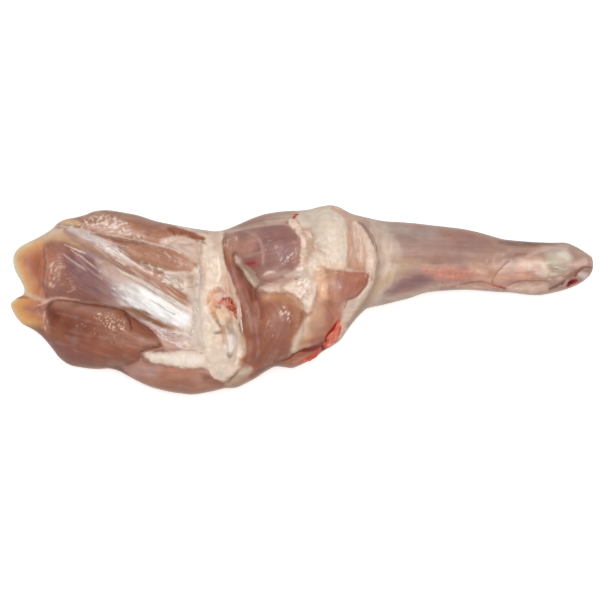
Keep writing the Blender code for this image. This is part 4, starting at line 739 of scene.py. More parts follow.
def boxRound(x, y, line, margin):
    # which points lie in the box round a line of points
    low, high = line[:, :2].min(axis=0) - margin, line[:, :2].max(axis=0) + margin
    return (x > low[0]) & (x < high[0]) & (y > low[1]) & (y < high[1])


def turned(x, y, degrees):
    # how far each point lies along and across a direction
    turn = math.radians(degrees)
    return x * math.cos(turn) + y * math.sin(turn), y * math.cos(turn) - x * math.sin(turn)


def insideLoop(x, y, loop):
    start, end = loop, np.roll(loop, -1, axis=0)
    odd = np.zeros(x.shape, bool)
    for (ax, ay), (bx, by) in zip(start, end):
        if ay != by:
            odd ^= ((ay > y) != (by > y)) & (ax + (y - ay) * (bx - ax) / (by - ay) > x)
    return odd


def ease(t):
    t = np.clip(t, 0, 1)
    return t * t * (3 - 2 * t)


def rough(x, y, z, size, seed):
    # smooth noise between about -1 and 1 with features of the given size
    places = zip(x / size + seed, y / size - seed, z / size + 0.5 * seed)
    return np.array([noise.noise(Vector(place)) for place in places])


def station(x, column):
    curve = smoothLine(stations, 400)
    return np.interp(x, curve[:, 0], curve[:, column])


def withBellies(height, x, y, table):
    # the plain body once the bellies stand out of it, with the grain of the belly on top
    height = height.copy()
    along, across = x.copy(), y.copy()
    blend = bellySettings["blend"]
    for drop, spine in table.values():
        line = smoothLine(spine, 26)
        near = boxRound(x, y, line, line[:, 2].max() + bellySettings["boxMargin"])
        gap, place, run, side = nearLine(x[near], y[near], line)
        halfWidth, crest = valueAt(line, place, 2), valueAt(line, place, 3)
        fall = drop * (1 - np.sqrt(np.clip(1 - (gap / halfWidth) ** 2, 0, 1)))
        fall += bellySettings["sideSlope"] * np.clip(gap - halfWidth, 0, None)
        new, old = crest - fall, height[near]
        mix = np.clip(0.5 + 0.5 * (new - old) / blend, 0, 1)
        height[near] = old + (new - old) * mix + blend * mix * (1 - mix)
        where = np.flatnonzero(near)[new > old]
        along[where], across[where] = run[new > old], side[new > old]
    return height, along, across


def rounded(depth, width):
    return np.sqrt(1 - (1 - np.clip(depth / width, 0, 1)) ** 2)


def planSheet(loop, insets, step):
    # points inside the loop, its own first, and the triangles between them, anticlockwise
    ahead = np.roll(loop, -1, axis=0) - np.roll(loop, 1, axis=0)
    ahead /= np.linalg.norm(ahead, axis=1)[:, None]
    inwards = np.column_stack([ahead[:, 1], -ahead[:, 0]])
    rings = [loop, *(loop + inset * inwards for inset in insets)]
    low, high = loop.min(axis=0), loop.max(axis=0)
    rows = np.arange(low[1], high[1], step * math.sqrt(0.75))
    field = np.array([(x, y) for k, y in enumerate(rows)
                      for x in np.arange(low[0] + (k % 2) * step / 2, high[0], step)])
    field = field[insideLoop(field[:, 0], field[:, 1], loop)]
    gap = nearLine(field[:, 0], field[:, 1], np.vstack([loop[::2], loop[:1]]))[0]
    field = field[gap > insets[-1] + step / 2]
    points = np.vstack([*rings, field])
    made = delaunay_2d_cdt([Vector(p) for p in points], [], [tuple(range(len(loop)))[::-1]], 1, 1e-6)
    faces = np.array(made[2])
    a, b, c = (points[faces[:, k]] for k in range(3))
    turn = (b[:, 0] - a[:, 0]) * (c[:, 1] - a[:, 1]) - (b[:, 1] - a[:, 1]) * (c[:, 0] - a[:, 0])
    faces[turn < 0] = faces[turn < 0][:, ::-1]
    return points, faces


borderSettings = {
    "bends": [(16, 2.1), (7, 3.1), (2.6, 8.7)],     # size in mm and seed of the waves in every border
    "teeth": [(3.2, 5.5), (1.3, 9.9)],              # the same for its small teeth
    "toothHeight": 0.6,
    "boxMargin": 5,             # how far past its border a tissue may still reach
}


def paintTissues(rows, x, y, z, along, across, tint, kinds, lift):
    # lays the rows over tint, tissue kinds and lift of each point, and turns the grain
    use = borderSettings
    bend = [(size, rough(x, y, z, size, seed), rough(x, y, z, size, seed + 4.3)) for size, seed in use["bends"]]
    fray = sum(use["toothHeight"] * rough(x, y, z, size, seed) for size, seed in use["teeth"])
    for one in rows:
        soft = one.get("soft", 0.6)
        closed = "edge" in one
        line = smoothLoop(one["edge"], 1.5) if closed else smoothLine(one["path"], 4 * len(one["path"]))
        near = boxRound(x, y, line, soft + use["boxMargin"] + (0 if closed else line[:, 2].max()))
        if not near.any():
            continue
        px, py = x[near].copy(), y[near].copy()
        for size, shiftX, shiftY in bend:
            sway = min(0.25 + 0.24 * soft, 1.8) if size > 3 else 0.3
            px += sway * shiftX[near]
            py += sway * shiftY[near]
        if closed:
            gap = nearLine(px, py, np.vstack([line, line[:1]]))[0]
            inside = np.where(insideLoop(px, py, line), gap, -gap)
            inside += one.get("fray", 0.6) * fray[near]
        else:
            gap, place = nearLine(px, py, line)[:2]
            halfWidth = valueAt(line, place, 2)
            inside = halfWidth - gap + min(0.25, 0.5 * halfWidth.max()) * fray[near]
        cover = ease(0.5 + inside / soft)
        if "fade" in one:
            (ax, ay), (bx, by) = one["fade"]
            cover *= ease(((px - ax) * (bx - ax) + (py - ay) * (by - ay)) / ((bx - ax) ** 2 + (by - ay) ** 2))
        share = (cover * one.get("cover", 1))[:, None]
        tint[near] += (np.array(linearColour(one["tint"])) - tint[near]) * share
        kind = np.zeros(5)
        kind[one.get("kind", muscle)] = 1
        if "kind" in one or closed:
            kinds[near] += (kind - kinds[near]) * share
        lift[near] += one.get("lift", 0) * ease(0.5 + inside / 1.6)
        if "groove" in one:
            lift[near] -= one["groove"] * ease(1 + (inside - 0.2) / 1.4)
        if "lie" in one:
            where = np.flatnonzero(near)[inside > 0]
            along[where], across[where] = turned(x[where], y[where], one["lie"])


def mixInto(tint, hexCode, share):
    tint += (np.array(linearColour(hexCode)) - tint) * np.clip(share, 0, 1)[:, None]


def weatherTissues(x, y, z, along, across, tint, kinds):
    # what no tissue is without: drifting hue, thin pale film over the lean, lumps and stains in the fat
    lean, soft = kinds[:, muscle], kinds[:, fat]
    drift = rough(x, y, z, 15, 3.8) + 0.6 * rough(x, y, z, 6, 7.1)
    mixInto(tint, "#86686A", 0.24 * ease(drift / 0.7) * lean)
    mixInto(tint, "#B07C5C", 0.20 * ease(-drift / 0.7) * lean)
    film = rough(along / 14, across / 2.2, 0 * x, 1, 5.2) + 0.5 * rough(x, y, z, 4, 1.9)
    streaks = 0.1 * lean * (1 - 0.5 * ease((x - 44) / 10))
    mixInto(tint, "#DCC6BB", streaks * ease((film - 0.05) / 0.6))
    mixInto(tint, "#7C4A3C", streaks * ease((-film - 0.05) / 0.6))
    lumps = 0.8 * rough(x, y, z, 6, 6.4) + 0.5 * rough(x, y, z, 2.4, 2.6)
    mixInto(tint, "#F1E6DA", 0.36 * ease(lumps / 0.6) * soft)
    mixInto(tint, "#C6A993", 0.32 * ease(-lumps / 0.6) * soft)


def paintStrokes(x, y, tint):
    # the strokes of each row, the pale wet ones painted highlights, and how wet the flesh is there
    wet = np.zeros(len(x))
    for one in strokesAndPaintedGlints:
        line = smoothLine(one["path"], 4 * len(one["path"]))
        here = boxRound(x, y, line, line[:, 2].max() + 3)
        px, py = x[here], y[here]
        gap, place = nearLine(px, py, line)[:2]
        shine = ease(0.5 + (valueAt(line, place, 2) - gap) / 3)
        longWay, crossWay = turned(px, py, one["lie"])
        stroke = rough(longWay / (one["size"] * one["stretch"]), crossWay / one["size"], 0 * px, 1,
                       one.get("seed", 1.5))
        part = tint[here]
        mixInto(part, one["tint"], shine * ease((stroke - one["gate"]) / 0.34) * one["cover"])
        tint[here] = part
        wet[here] = np.maximum(wet[here], shine * one.get("wet", 0))
    return wet


sideSettings = {
    "bloodEnds": (27, 12),      # heights where the red of a torn vessel ends, at elbow and knuckle
    "bladeEnd": -160,           # from here to the blade's end the side wall is painted as its gristle
    "wallDepth": 2,             # how far in from the outline the wall under the edge reaches
}


def bloodless(x, y, height):
    # 0 where the red of a torn vessel shows on the side, 1 below its end
    ends = np.where(x < 60, *sideSettings["bloodEnds"])
    return ease((ends + 7 * rough(x, y, height, 4, 1.2) - height) / 6)


def offBlade(x):
    return ease((x - sideSettings["bladeEnd"]) / 10)


def store(mesh, name, values):
    # a value or a colour at each point of the mesh
    values = np.array(values, np.float32)
    kind, field = ("FLOAT", "value") if values.ndim == 1 else ("FLOAT_COLOR", "color")
    mesh.attributes.new(name, kind, "POINT").data.foreach_set(field, values.ravel())


def shoulderMesh():
    # both sheets, joined along the outline
    use = sheetSettings
    loop = smoothLoop(outline, use["rimStep"])
    rim = len(loop)
    top, topFaces = planSheet(loop, use["topInsets"], use["topStep"])
    under, underFaces = planSheet(loop, use["underInsets"], use["underStep"])
    print("plan", len(topFaces), "faces over and", len(underFaces), "under")
    closed = np.vstack([loop, loop[:1]])

    x, y = top.T
    depth = nearLine(x, y, closed)[0]
    depth[:rim] = 0
    widest = station(x, 1)
    height, along, across = withBellies(station(x, 4), x, y, bellies)
    for hx, hy, radius, deep in hollows:
        height -= deep * np.exp(-((x - hx) ** 2 + (y - hy) ** 2) / radius ** 2)
    tint, kinds, lift = paintUpper(x, y, height, depth, along, across)
    lean = kinds[:, muscle]
    # relief: bundles and fibres in the lean, lobes and lobules in the fat, fine strands in the silverskin
    lift += lean * (0.32 * rough(along, across, 0 * x, 9, 2.2)
                    + 0.14 * rough(along / 7, across / 1.7, 0 * x, 1, 4.4))
    lift += kinds[:, fat] * (0.8 * rough(x, y, height, 5, 6.1) + 0.45 * rough(x, y, height, 2.2, 7.3))
    lift += 0.18 * kinds[:, silver] * rough(along / 9, across / 1.6, 0 * x, 1, 9.4)
    topZ = widest + (height + lift - widest) * rounded(depth, station(x, 2))
    rimPart = depth < sideSettings["wallDepth"]  # the wall below the edge already shows the outer side
    outer = paintOuter(*(part[rimPart] for part in (x, y, topZ, along, across)))
    share = 0.5 * offBlade(x) * (1 - ease(depth / 1.8)) * (1 - kinds[:, blood])
    share = (share + bloodless(x, y, topZ) * kinds[:, blood])[rimPart, None]
    tint[rimPart] += (outer[0] - tint[rimPart]) * share
    kinds[rimPart] += (outer[1] - kinds[rimPart]) * share
    weatherTissues(x, y, topZ, along, across, tint, kinds)
    wet = paintStrokes(x, y, tint)

    ux, uy = under[rim:].T
    underDepth = nearLine(ux, uy, closed)[0]
    upturned = {name: (drop, [(px, py, wide, -crest) for px, py, wide, crest in spine])
                for name, (drop, spine) in outerBellies.items()}
    low, underAlong, underAcross = withBellies(-station(ux, 5), ux, uy, upturned)
    low = np.clip(-low, 0, None)
    bumps = 0.35 * rough(ux, uy, 0 * ux, 6, 1.7)
    low = np.clip(low + bumps * ease(low / 0.8), 0, None)
    middle = station(ux, 1)
    underZ = middle + (low - middle) * rounded(underDepth, station(ux, 3))
    underTint, underKinds, _ = paintUpper(ux, uy, underZ, underDepth, underAlong, underAcross)
    outer = paintOuter(ux, uy, underZ, underAlong, underAcross)
    wave = underDepth + 1.5 * rough(ux, uy, underZ, 6, 2.7) * ease(underDepth / 3)
    onBlade = 1 - offBlade(ux)
    share = (onBlade * ease((wave - 3) / 8) + (1 - onBlade) * (0.5 + 0.5 * ease(wave / 6)))[:, None]
    underTint += (outer[0] - underTint) * share
    underKinds += (outer[1] - underKinds) * share
    share = (bloodless(ux, uy, underZ) * underKinds[:, blood])[:, None]
    underTint += (outer[0] - underTint) * share
    underKinds += (outer[1] - underKinds) * share
    weatherTissues(ux, uy, underZ, underAlong, underAcross, underTint, underKinds)

    points = np.vstack([np.column_stack([x, y, topZ]), np.column_stack([ux, uy, underZ])]) * mm
    lower = np.where(underFaces < rim, underFaces, underFaces + len(top) - rim)[:, ::-1]
    faces = np.vstack([topFaces, lower])
    mesh = bpy.data.meshes.new("shoulder_meat")
    mesh.from_pydata(points.tolist(), [], faces.tolist())
    tints = np.clip(np.vstack([tint, underTint]) - filmSheen, 0.004, 1)
    store(mesh, "tint", np.column_stack([tints, np.ones(len(points))]))
    store(mesh, "kinds", np.vstack([kinds, underKinds])[:, [fat, silver, gristle, blood]])
    store(mesh, "wet", np.concatenate([wet, outer[2]]))
    grain = np.vstack([np.column_stack([along, across]), np.column_stack([underAlong, underAcross])]) * mm
    corner = np.empty(len(mesh.loops), np.int32)
    mesh.loops.foreach_get("vertex_index", corner)
    mesh.uv_layers.new(name="grain").data.foreach_set("uv", grain[corner].astype(np.float32).ravel())
    mesh.shade_smooth()
    mesh.update()
    return mesh


# The blade's gristle rim by distance from its edge: cream, then ochre, then the orange flesh
rimTones = {
    "upperLobe": [(0, "#E6D6C2"), (1.6, "#E0C49F"), (4, "#D6A67D"), (6.5, "#CB956D"), (9.5, "#BD7E65")],
    "lowerLobe": [(0, "#E4CDAC"), (1.6, "#DDB17E"), (4.5, "#D59C67"), (8, "#CB9069"), (12, "#BF806A")],
}


def rimBands(x, y, depth, tint, kinds):
    wave = depth + 1.2 * rough(x, y, 0 * x, 8, 3.3)
    lobes = {
        "upperLobe": ease((-156 - x) / 5) * ease((y - 1) / 3) * ease((37 - y) / 6 + 0.4),
        "lowerLobe": ease((-153 - x) / 8) * ease((2 - y) / 2) * ease((y + 19) / 6),
    }
    for lobe, share in lobes.items():
        stops, codes = zip(*rimTones[lobe])
        tones = np.array([linearColour(code) for code in codes])
        tone = np.column_stack([np.interp(wave, stops, tones[:, k]) for k in range(3)])
        share = share * ease((stops[-1] + 2 - wave) / 3)
        tint += (tone - tint) * share[:, None]
        kinds += (np.eye(5)[gristle] - kinds) * (share * ease((9 - wave) / 4))[:, None]


def paintUpper(x, y, z, depth, along, across):
    # tissues of the side that shows: tint, tissue kinds and how far each stands up
    tint = np.tile(linearColour("#AE8272"), (len(x), 1))
    kinds = np.zeros((len(x), 5))
    kinds[:, muscle] = 1
    lift = np.zeros(len(x))
    for rows in (bladeTissues, fasciaTissues, flapTissues):
        paintTissues(rows, x, y, z, along, across, tint, kinds, lift)
    rimBands(x, y, depth, tint, kinds)
    for rows in (fatTissues, armTissues, shankTissues, marks):
        paintTissues(rows, x, y, z, along, across, tint, kinds, lift)
    return tint, kinds, lift


def paintOuter(x, y, z, along, across):
    # the side it lies on: muscles under a thin pale membrane, and how wet it is
    tint = np.tile(linearColour("#C9B0A1"), (len(x), 1))
    kinds = np.zeros((len(x), 5))
    kinds[:, fat] = 1
    muscles = [band(outerTints[name], 7, 1, *(row[:3] for row in spine), kind=muscle)
               for name, (_, spine) in outerBellies.items()]
    paintTissues(muscles + outerMarks, x, y, z, along.copy(), across.copy(), tint, kinds, np.zeros(len(x)))
    skin = rough(x, y, z, 18, 4.2) + 0.6 * rough(x, y, z, 5, 6.6)
    mixInto(tint, "#DCCABD", 0.45 * ease((skin + 0.1) / 0.9))
    return tint, kinds, 0.3 + 0.3 * ease(skin / 0.6)


def setInputs(tree, node, inputs):
    # each input set to a value, or linked to a socket or to the first output of a node
    for name, value in inputs.items():
        if isinstance(value, bpy.types.Node):
            value = value.outputs[0]
        if isinstance(value, bpy.types.NodeSocket):
            tree.links.new(value, node.inputs[name])
        else:
            node.inputs[name].default_value = value


def addNode(tree, kind, inputs, **settings):
    # one node with its settings, values and links
    node = tree.nodes.new(kind)
    for name, value in settings.items():
        setattr(node, name, value)
    setInputs(tree, node, inputs)
    return node


wetFlesh = {
    "IOR": 1.4,
    "Subsurface Weight": 0.2,
    "Subsurface Radius": (1.0, 0.4, 0.25),  # red light goes furthest
    "Coat Roughness": 0.1,
    "Coat IOR": 1.34,           # the film of water
}


def wetMaterial(name, scatter):
    # what all the wet tissues share; scatter is how deep light goes in, in metres
    material = bpy.data.materials.new(name)
    material.use_nodes = True
    shader = material.node_tree.nodes["Principled BSDF"]
    setInputs(material.node_tree, shader, {**wetFlesh, "Subsurface Scale": scatter})
    return material, material.node_tree, shader


def rawLamb():
    # Wet raw lamb: satin muscle with a fine grain, waxy fat, tight shining silverskin
    material, tree, shader = wetMaterial("wetRawLamb", 0.003)
    tint = addNode(tree, "ShaderNodeAttribute", {}, attribute_name="tint")
    kinds = addNode(tree, "ShaderNodeAttribute", {}, attribute_name="kinds")
    kind = addNode(tree, "ShaderNodeSeparateColor", {"Color": kinds.outputs["Color"]})
    fatShare, gristleShare = kind.outputs[0], kind.outputs[2]
    place = addNode(tree, "ShaderNodeTexCoord", {}).outputs["Object"]
    grain = addNode(tree, "ShaderNodeUVMap", {}, uv_map="grain").outputs[0]

    # fibres 0.5 mm across and 12 mm long
    fibreSpace = addNode(tree, "ShaderNodeMapping", {"Vector": grain, "Scale": (1 / 0.012, 1 / 0.0005, 1)})
    fibres = addNode(tree, "ShaderNodeTexNoise",
                     {"Vector": fibreSpace, "Scale": 1.0, "Detail": 3.0, "Roughness": 0.6},
                     noise_dimensions="2D")
    # bundles of them 2.2 mm across and 30 mm long
    bundleSpace = addNode(tree, "ShaderNodeMapping", {"Vector": grain, "Scale": (1 / 0.03, 1 / 0.0022, 1)})
    bundles = addNode(tree, "ShaderNodeTexNoise",
                      {"Vector": bundleSpace, "Scale": 1.0, "Detail": 4.0, "Roughness": 0.62},
                      noise_dimensions="2D")
    # mottling of the blood in the flesh, 6 mm
    mottle = addNode(tree, "ShaderNodeTexNoise",
                     {"Vector": place, "Scale": 1 / 0.006, "Detail": 4.0, "Roughness": 0.6})
    # fat lobules, 1.5 mm
    lobules = addNode(tree, "ShaderNodeTexVoronoi", {"Vector": place, "Scale": 1 / 0.0015, "Smoothness": 0.6},
                      feature="SMOOTH_F1")
    # pores, 0.7 mm
    pits = addNode(tree, "ShaderNodeTexNoise", {"Vector": place, "Scale": 1 / 0.0007, "Detail": 3.0})

    # the grain's tone shows in the lean: what is neither fat nor gristle
    lean = addNode(tree, "ShaderNodeMath", {0: 1.0, 1: fatShare}, operation="SUBTRACT", use_clamp=True)
    lean = addNode(tree, "ShaderNodeMath", {0: lean, 1: gristleShare}, operation="SUBTRACT", use_clamp=True)
    streak = addNode(tree, "ShaderNodeMix", {0: 0.5, 2: fibres, 3: bundles}, data_type="FLOAT")
    streakGain = addNode(tree, "ShaderNodeMapRange",
                         {"Value": streak, "From Min": 0.3, "From Max": 0.7, "To Min": 0.88, "To Max": 1.11})
    leanGain = addNode(tree, "ShaderNodeMix", {0: lean, 2: 1.0, 3: streakGain}, data_type="FLOAT")
    mottleGain = addNode(tree, "ShaderNodeMapRange",
                         {"Value": mottle, "From Min": 0.3, "From Max": 0.7, "To Min": 0.93, "To Max": 1.06})
    gain = addNode(tree, "ShaderNodeMath", {0: leanGain, 1: mottleGain}, operation="MULTIPLY")
    toned = addNode(tree, "ShaderNodeVectorMath", {0: tint.outputs["Color"], "Scale": gain}, operation="SCALE")

    # fat: warm between the lobules
    warmEdge = addNode(tree, "ShaderNodeMapRange",
                       {"Value": lobules, "From Min": 0.15, "From Max": 0.7, "To Min": 0.0, "To Max": 0.08})
    warmShare = addNode(tree, "ShaderNodeMath", {0: warmEdge, 1: fatShare}, operation="MULTIPLY")
    fatted = addNode(tree, "ShaderNodeMix", {0: warmShare, 6: toned, 7: (*linearColour("#C79F86"), 1)},
                     data_type="RGBA")

    # relief: grain in the lean, lobules in the fat
    grainHeight = addNode(tree, "ShaderNodeMath", {0: streak, 1: lean}, operation="MULTIPLY")
    grainBump = addNode(tree, "ShaderNodeBump", {"Height": grainHeight, "Strength": 0.5, "Distance": 0.0004})
    lobuleHeight = addNode(tree, "ShaderNodeMath", {0: lobules, 1: fatShare}, operation="MULTIPLY")
    lobuleBump = addNode(tree, "ShaderNodeBump",
                         {"Height": lobuleHeight, "Strength": 0.2, "Distance": 0.0004, "Normal": grainBump},
                         invert=True)
    pitBump = addNode(tree, "ShaderNodeBump",
                      {"Height": pits, "Strength": 0.25, "Distance": 0.0002, "Normal": lobuleBump})

    wetness = addNode(tree, "ShaderNodeAttribute", {}, attribute_name="wet").outputs["Fac"]
    # ripples 2.5 mm apart where the film of water is thick
    ripples = addNode(tree, "ShaderNodeTexNoise",
                      {"Vector": place, "Scale": 1 / 0.0025, "Detail": 2.0, "Roughness": 0.5})
    rippleHeight = addNode(tree, "ShaderNodeMath", {0: ripples, 1: wetness}, operation="MULTIPLY")
    rippleBump = addNode(tree, "ShaderNodeBump",
                         {"Height": rippleHeight, "Strength": 0.8, "Distance": 0.0012, "Normal": lobuleBump})
    # wet and drier patches
    wet = addNode(tree, "ShaderNodeMapRange",
                  {"Value": mottle, "From Min": 0.35, "From Max": 0.65, "To Min": 0.3, "To Max": 0.5})
    # the film is thin over blood, whose share is in the last channel
    coat = addNode(tree, "ShaderNodeMapRange", {"Value": kinds.outputs["Alpha"], "To Min": 0.4, "To Max": 0.05})
    setInputs(tree, shader, {"Base Color": fatted.outputs[2], "Normal": pitBump, "Roughness": wet,
                             "Coat Weight": coat, "Coat Normal": rippleBump})
    return material


def addObject(name, data):
    made = bpy.data.objects.new(name, data)
    bpy.context.scene.collection.objects.link(made)
    return made


def addShoulder():
    mesh = shoulderMesh()
    mesh.materials.append(rawLamb())
    shoulder = addObject("shoulder_meat", mesh)
    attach(shoulder, "root")
    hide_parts("lamb_shoulder")
    print("shoulder_meat", len(mesh.polygons), "triangles")
    return mesh


def wetMembrane():
    # Wet fascia and tendon: pale, tight and shining
    return plainTissue("wetMembrane", "tint", roughness=0.3, coat=0.5, mottle=0.0015)


def wetBlood():
    # Torn flesh soaked with blood: red, soft and wet
    return plainTissue("wetBloodyFlesh", "tint", roughness=0.35, coat=0.35, mottle=0.0008)


def wetFat():
    # Crumbs of soft fat with water on them: cream, waxy, with small bright glints
    return plainTissue("wetFatCrumbs", "tone", roughness=0.42, coat=0.35, mottle=0.0012,
                       tints=("#DCC3B1", "#F4E6D9"))


def wetClots():
    # Clots of blood: almost black red where thick, bright where torn
    return plainTissue("wetBloodClots", "tone", roughness=0.35, coat=0.3, mottle=0.0008,
                       tints=("#6A0E0B", "#C2503E"))


def plainTissue(name, attribute, roughness, coat, mottle, tints=None):
    # a wet tissue of one tint at each point, mottled by noise of the given size in metres
    material, tree, shader = wetMaterial(name, 0.0015)
    given = addNode(tree, "ShaderNodeAttribute", {}, attribute_name=attribute)
    colour = given.outputs["Color"]
    if tints:
        darkest, palest = ((*linearColour(code), 1) for code in tints)
        colour = addNode(tree, "ShaderNodeMix", {0: given.outputs["Fac"], 6: darkest, 7: palest},
                         data_type="RGBA").outputs[2]
    place = addNode(tree, "ShaderNodeTexCoord", {}).outputs["Object"]
    spots = addNode(tree, "ShaderNodeTexNoise", {"Vector": place, "Scale": 1 / mottle, "Detail": 3.0})
    gain = addNode(tree, "ShaderNodeMapRange",
                   {"Value": spots, "From Min": 0.3, "From Max": 0.7, "To Min": 0.85, "To Max": 1.08})
    toned = addNode(tree, "ShaderNodeVectorMath", {0: colour, "Scale": gain}, operation="SCALE")
    bump = addNode(tree, "ShaderNodeBump", {"Height": spots, "Strength": 0.4, "Distance": 0.0003})
    setInputs(tree, shader, {"Base Color": toned, "Normal": bump, "Roughness": roughness, "Coat Weight": coat})
    return material


# Threads of fascia, tendon and torn membrane: finish, sizes for the tree and seed of each piece, then
# its threads by route with half widths, how many, length and half thickness in mm, how far they stray
# from the route in degrees, and their tints
threads = {
    "fascia_threads": (wetMembrane, dict(Sides=5, Wobble=0.0002), 11, [
        dict(path=[(-140, 41, 1.5), (-130, 38.5, 2.5), (-116, 32, 3), (-104, 24, 3)], count=8, length=(6, 20),
             thick=(0.14, 0.3), stray=3, tints=("#F3E8E2", "#E6D5CC")),
        dict(path=[(-122, 33.4, 1.5), (-112, 28.6, 2.2), (-104, 24, 1.2)], count=9, length=(2, 7),
             thick=(0.12, 0.38), stray=8, tints=("#F3E4DC", "#E6CFC2", "#D6B7A8")),
        dict(path=[(-108, 15, 1), (-92, 7, 1.4), (-78, -1, 1.4), (-66, -8, 1)], count=18, length=(5, 16),
             thick=(0.1, 0.3), stray=3, tints=("#F5ECE6", "#E8D8CF", "#D9BFB2")),
        dict(path=[(-108, 5, 3), (-94, -2, 5), (-80, -9, 4), (-70, -14, 3)], count=16, length=(8, 22),
             thick=(0.05, 0.14), stray=3, tints=("#F6F3F1", "#E8E2E1", "#DCD3D2")),
        dict(path=[(-90, -16.4, 0.6), (-83, -20.4, 2.2), (-75, -24, 4), (-66, -25, 4)], count=46,
             length=(1.5, 5), thick=(0.12, 0.36), stray=26, tints=("#EBD5CF", "#DBBDB6", "#CBA69D", "#F1E2DD")),
        dict(path=[(-86, 15, 2), (-78, 12, 3), (-70, 10, 3)], count=10, length=(3, 8), thick=(0.2, 0.5),
             stray=34, tints=("#EEDFD4", "#F3E8DE")),
        dict(path=[(-80, 35, 2), (-70, 33, 2.4), (-60, 31, 2)], count=14, length=(2, 9), thick=(0.1, 0.26),
             stray=12, tints=("#E6D3C7", "#D6BDAF")),
        dict(path=[(-37.4, 3, 0.6), (-36.8, -8, 0.8), (-35.8, -20, 0.8)], count=10, length=(3, 9),
             thick=(0.15, 0.4), stray=4, tints=("#F3DCD0", "#E6C6B8")),
        dict(path=[(36, 45, 0.5), (42, 37, 0.5), (44.6, 28, 0.5), (43.6, 14, 0.5), (39, 2, 0.5)], count=6,
             length=(6, 16), thick=(0.15, 0.35), stray=2, tints=("#DEC8BA", "#CDB09E")),
        dict(path=[(152, 19.6, 0.6), (158, 18.6, 1), (165, 18.4, 0.6)], count=7, length=(3, 8),
             thick=(0.12, 0.3), stray=5, tints=("#D9C8BA", "#E3D7CC")),
    ]),
    "torn_vessel": (wetBlood, dict(Sides=7, Wobble=0.0007), 12, [
        dict(path=[(23, -13, 0.3), (21.8, -17.6, 1.4), (19, -22.6, 2.8), (16.4, -26.4, 2)], count=20,
             length=(4, 10), thick=(0.3, 0.8), stray=7, tints=("#DE6D58", "#E27C66", "#D65A47", "#EE9A84")),
        dict(path=[(11.8, -31.8, 1.8), (6.4, -35.2, 1.6), (2, -37.4, 0.8)], count=18, length=(2, 6),
             thick=(0.2, 0.6), stray=10, tints=("#CE5442", "#E27C66", "#B9402F")),
        dict(path=[(-49.4, -1, 1.2), (-46, -1, 2.2), (-43, -2, 2.6), (-40.2, -6, 1.8), (-38.8, -10, 0.8)],
             count=38, length=(0.8, 2.6), thick=(0.16, 0.4), stray=90,
             tints=("#C8553F", "#D98070", "#A83A2A", "#E6A890", "#DB9078")),
        dict(path=[(163.8, 9.4, 0.5), (165.6, 11, 0.9), (168.8, 11.8, 0.5)], count=9, length=(0.8, 2.6),
             thick=(0.14, 0.4), stray=60, tints=("#780E0E", "#8C1414", "#600608")),
        dict(path=[(-4.8, 49.4, 0.5), (-2, 52.6, 0.5)], count=10, length=(1, 3), thick=(0.15, 0.4), stray=30,
             tints=("#A83222", "#C4503E")),
    ]),
}


threadSettings = {
    "step": 1.1,                # mm between the points of a thread
    "swing": (0.1, 0.6),        # how far a thread waves to its sides
    "wave": 0.35,               # how much of a wave each step is, in radians
    "raised": 0.25,             # its middle over the surface, in half thicknesses
}


def threadMesh(fields, surface, seed):
    # the middle lines of all the threads in the surface, as edges with a thickness and a tint at each point
    use = threadSettings
    draw = random.Random(seed)
    points, edges, radii, tints = [], [], [], []
    for one in fields:
        route = smoothLine(one["path"], 60)
        steps = np.linalg.norm(np.diff(route[:, :2], axis=0), axis=1)
        total = steps.sum()
        for _ in range(one["count"]):
            length = min(draw.uniform(*one["length"]), total)
            start = draw.uniform(0, total - length)
            side, swing, phase = draw.uniform(-1, 1), draw.uniform(*use["swing"]), draw.uniform(0, 6)
            turn = math.radians(draw.uniform(-one["stray"], one["stray"]))
            radius = draw.uniform(*one["thick"])
            tint = linearColour(draw.choice(one["tints"]))
            count = max(int(length / use["step"]), 4)
            first = len(points)
            for k in range(count):
                run = length * (k / (count - 1) - 0.5)
                place = (start + 0.5 * length + run * math.cos(turn)) / total * (len(route) - 1)
                cx, cy, halfWidth = (valueAt(route, place, column) for column in range(3))
                ahead = route[min(int(place) + 1, len(route) - 1)] - route[min(int(place), len(route) - 2)]
                ahead = ahead[:2] / np.linalg.norm(ahead[:2])
                offset = side * halfWidth + swing * math.sin(phase + use["wave"] * k) + run * math.sin(turn)
                px, py = cx - ahead[1] * offset, cy + ahead[0] * offset
                hit, normal, _, _ = surface.ray_cast(Vector((px * mm, py * mm, 0.1)), Vector((0, 0, -1)))
                if hit is None:
                    continue
                taper = math.sin(math.pi * (k + 0.6) / (count + 0.2)) ** 0.5
                points.append(hit + normal * use["raised"] * radius * mm)
                radii.append(radius * taper * mm)
                tints.append((*tint, 1))
            edges += [(i, i + 1) for i in range(first, len(points) - 1)]
    mesh = bpy.data.meshes.new("threadLines")
    mesh.from_pydata(points, edges, [])
    store(mesh, "thickness", radii)
    store(mesh, "tint", tints)
    return mesh


def newTree(name, inputs):
    # a geometry node tree with named inputs; also its input node and the inputs' identifiers
    tree = bpy.data.node_groups.new(name, "GeometryNodeTree")
    tree.interface.new_socket(name="Geometry", in_out="INPUT", socket_type="NodeSocketGeometry")
    keys = {label: tree.interface.new_socket(name=label, in_out="INPUT", socket_type=kind).identifier
            for label, kind in inputs.items()}
    tree.interface.new_socket(name="Geometry", in_out="OUTPUT", socket_type="NodeSocketGeometry")
    return tree, tree.nodes.new("NodeGroupInput").outputs, keys


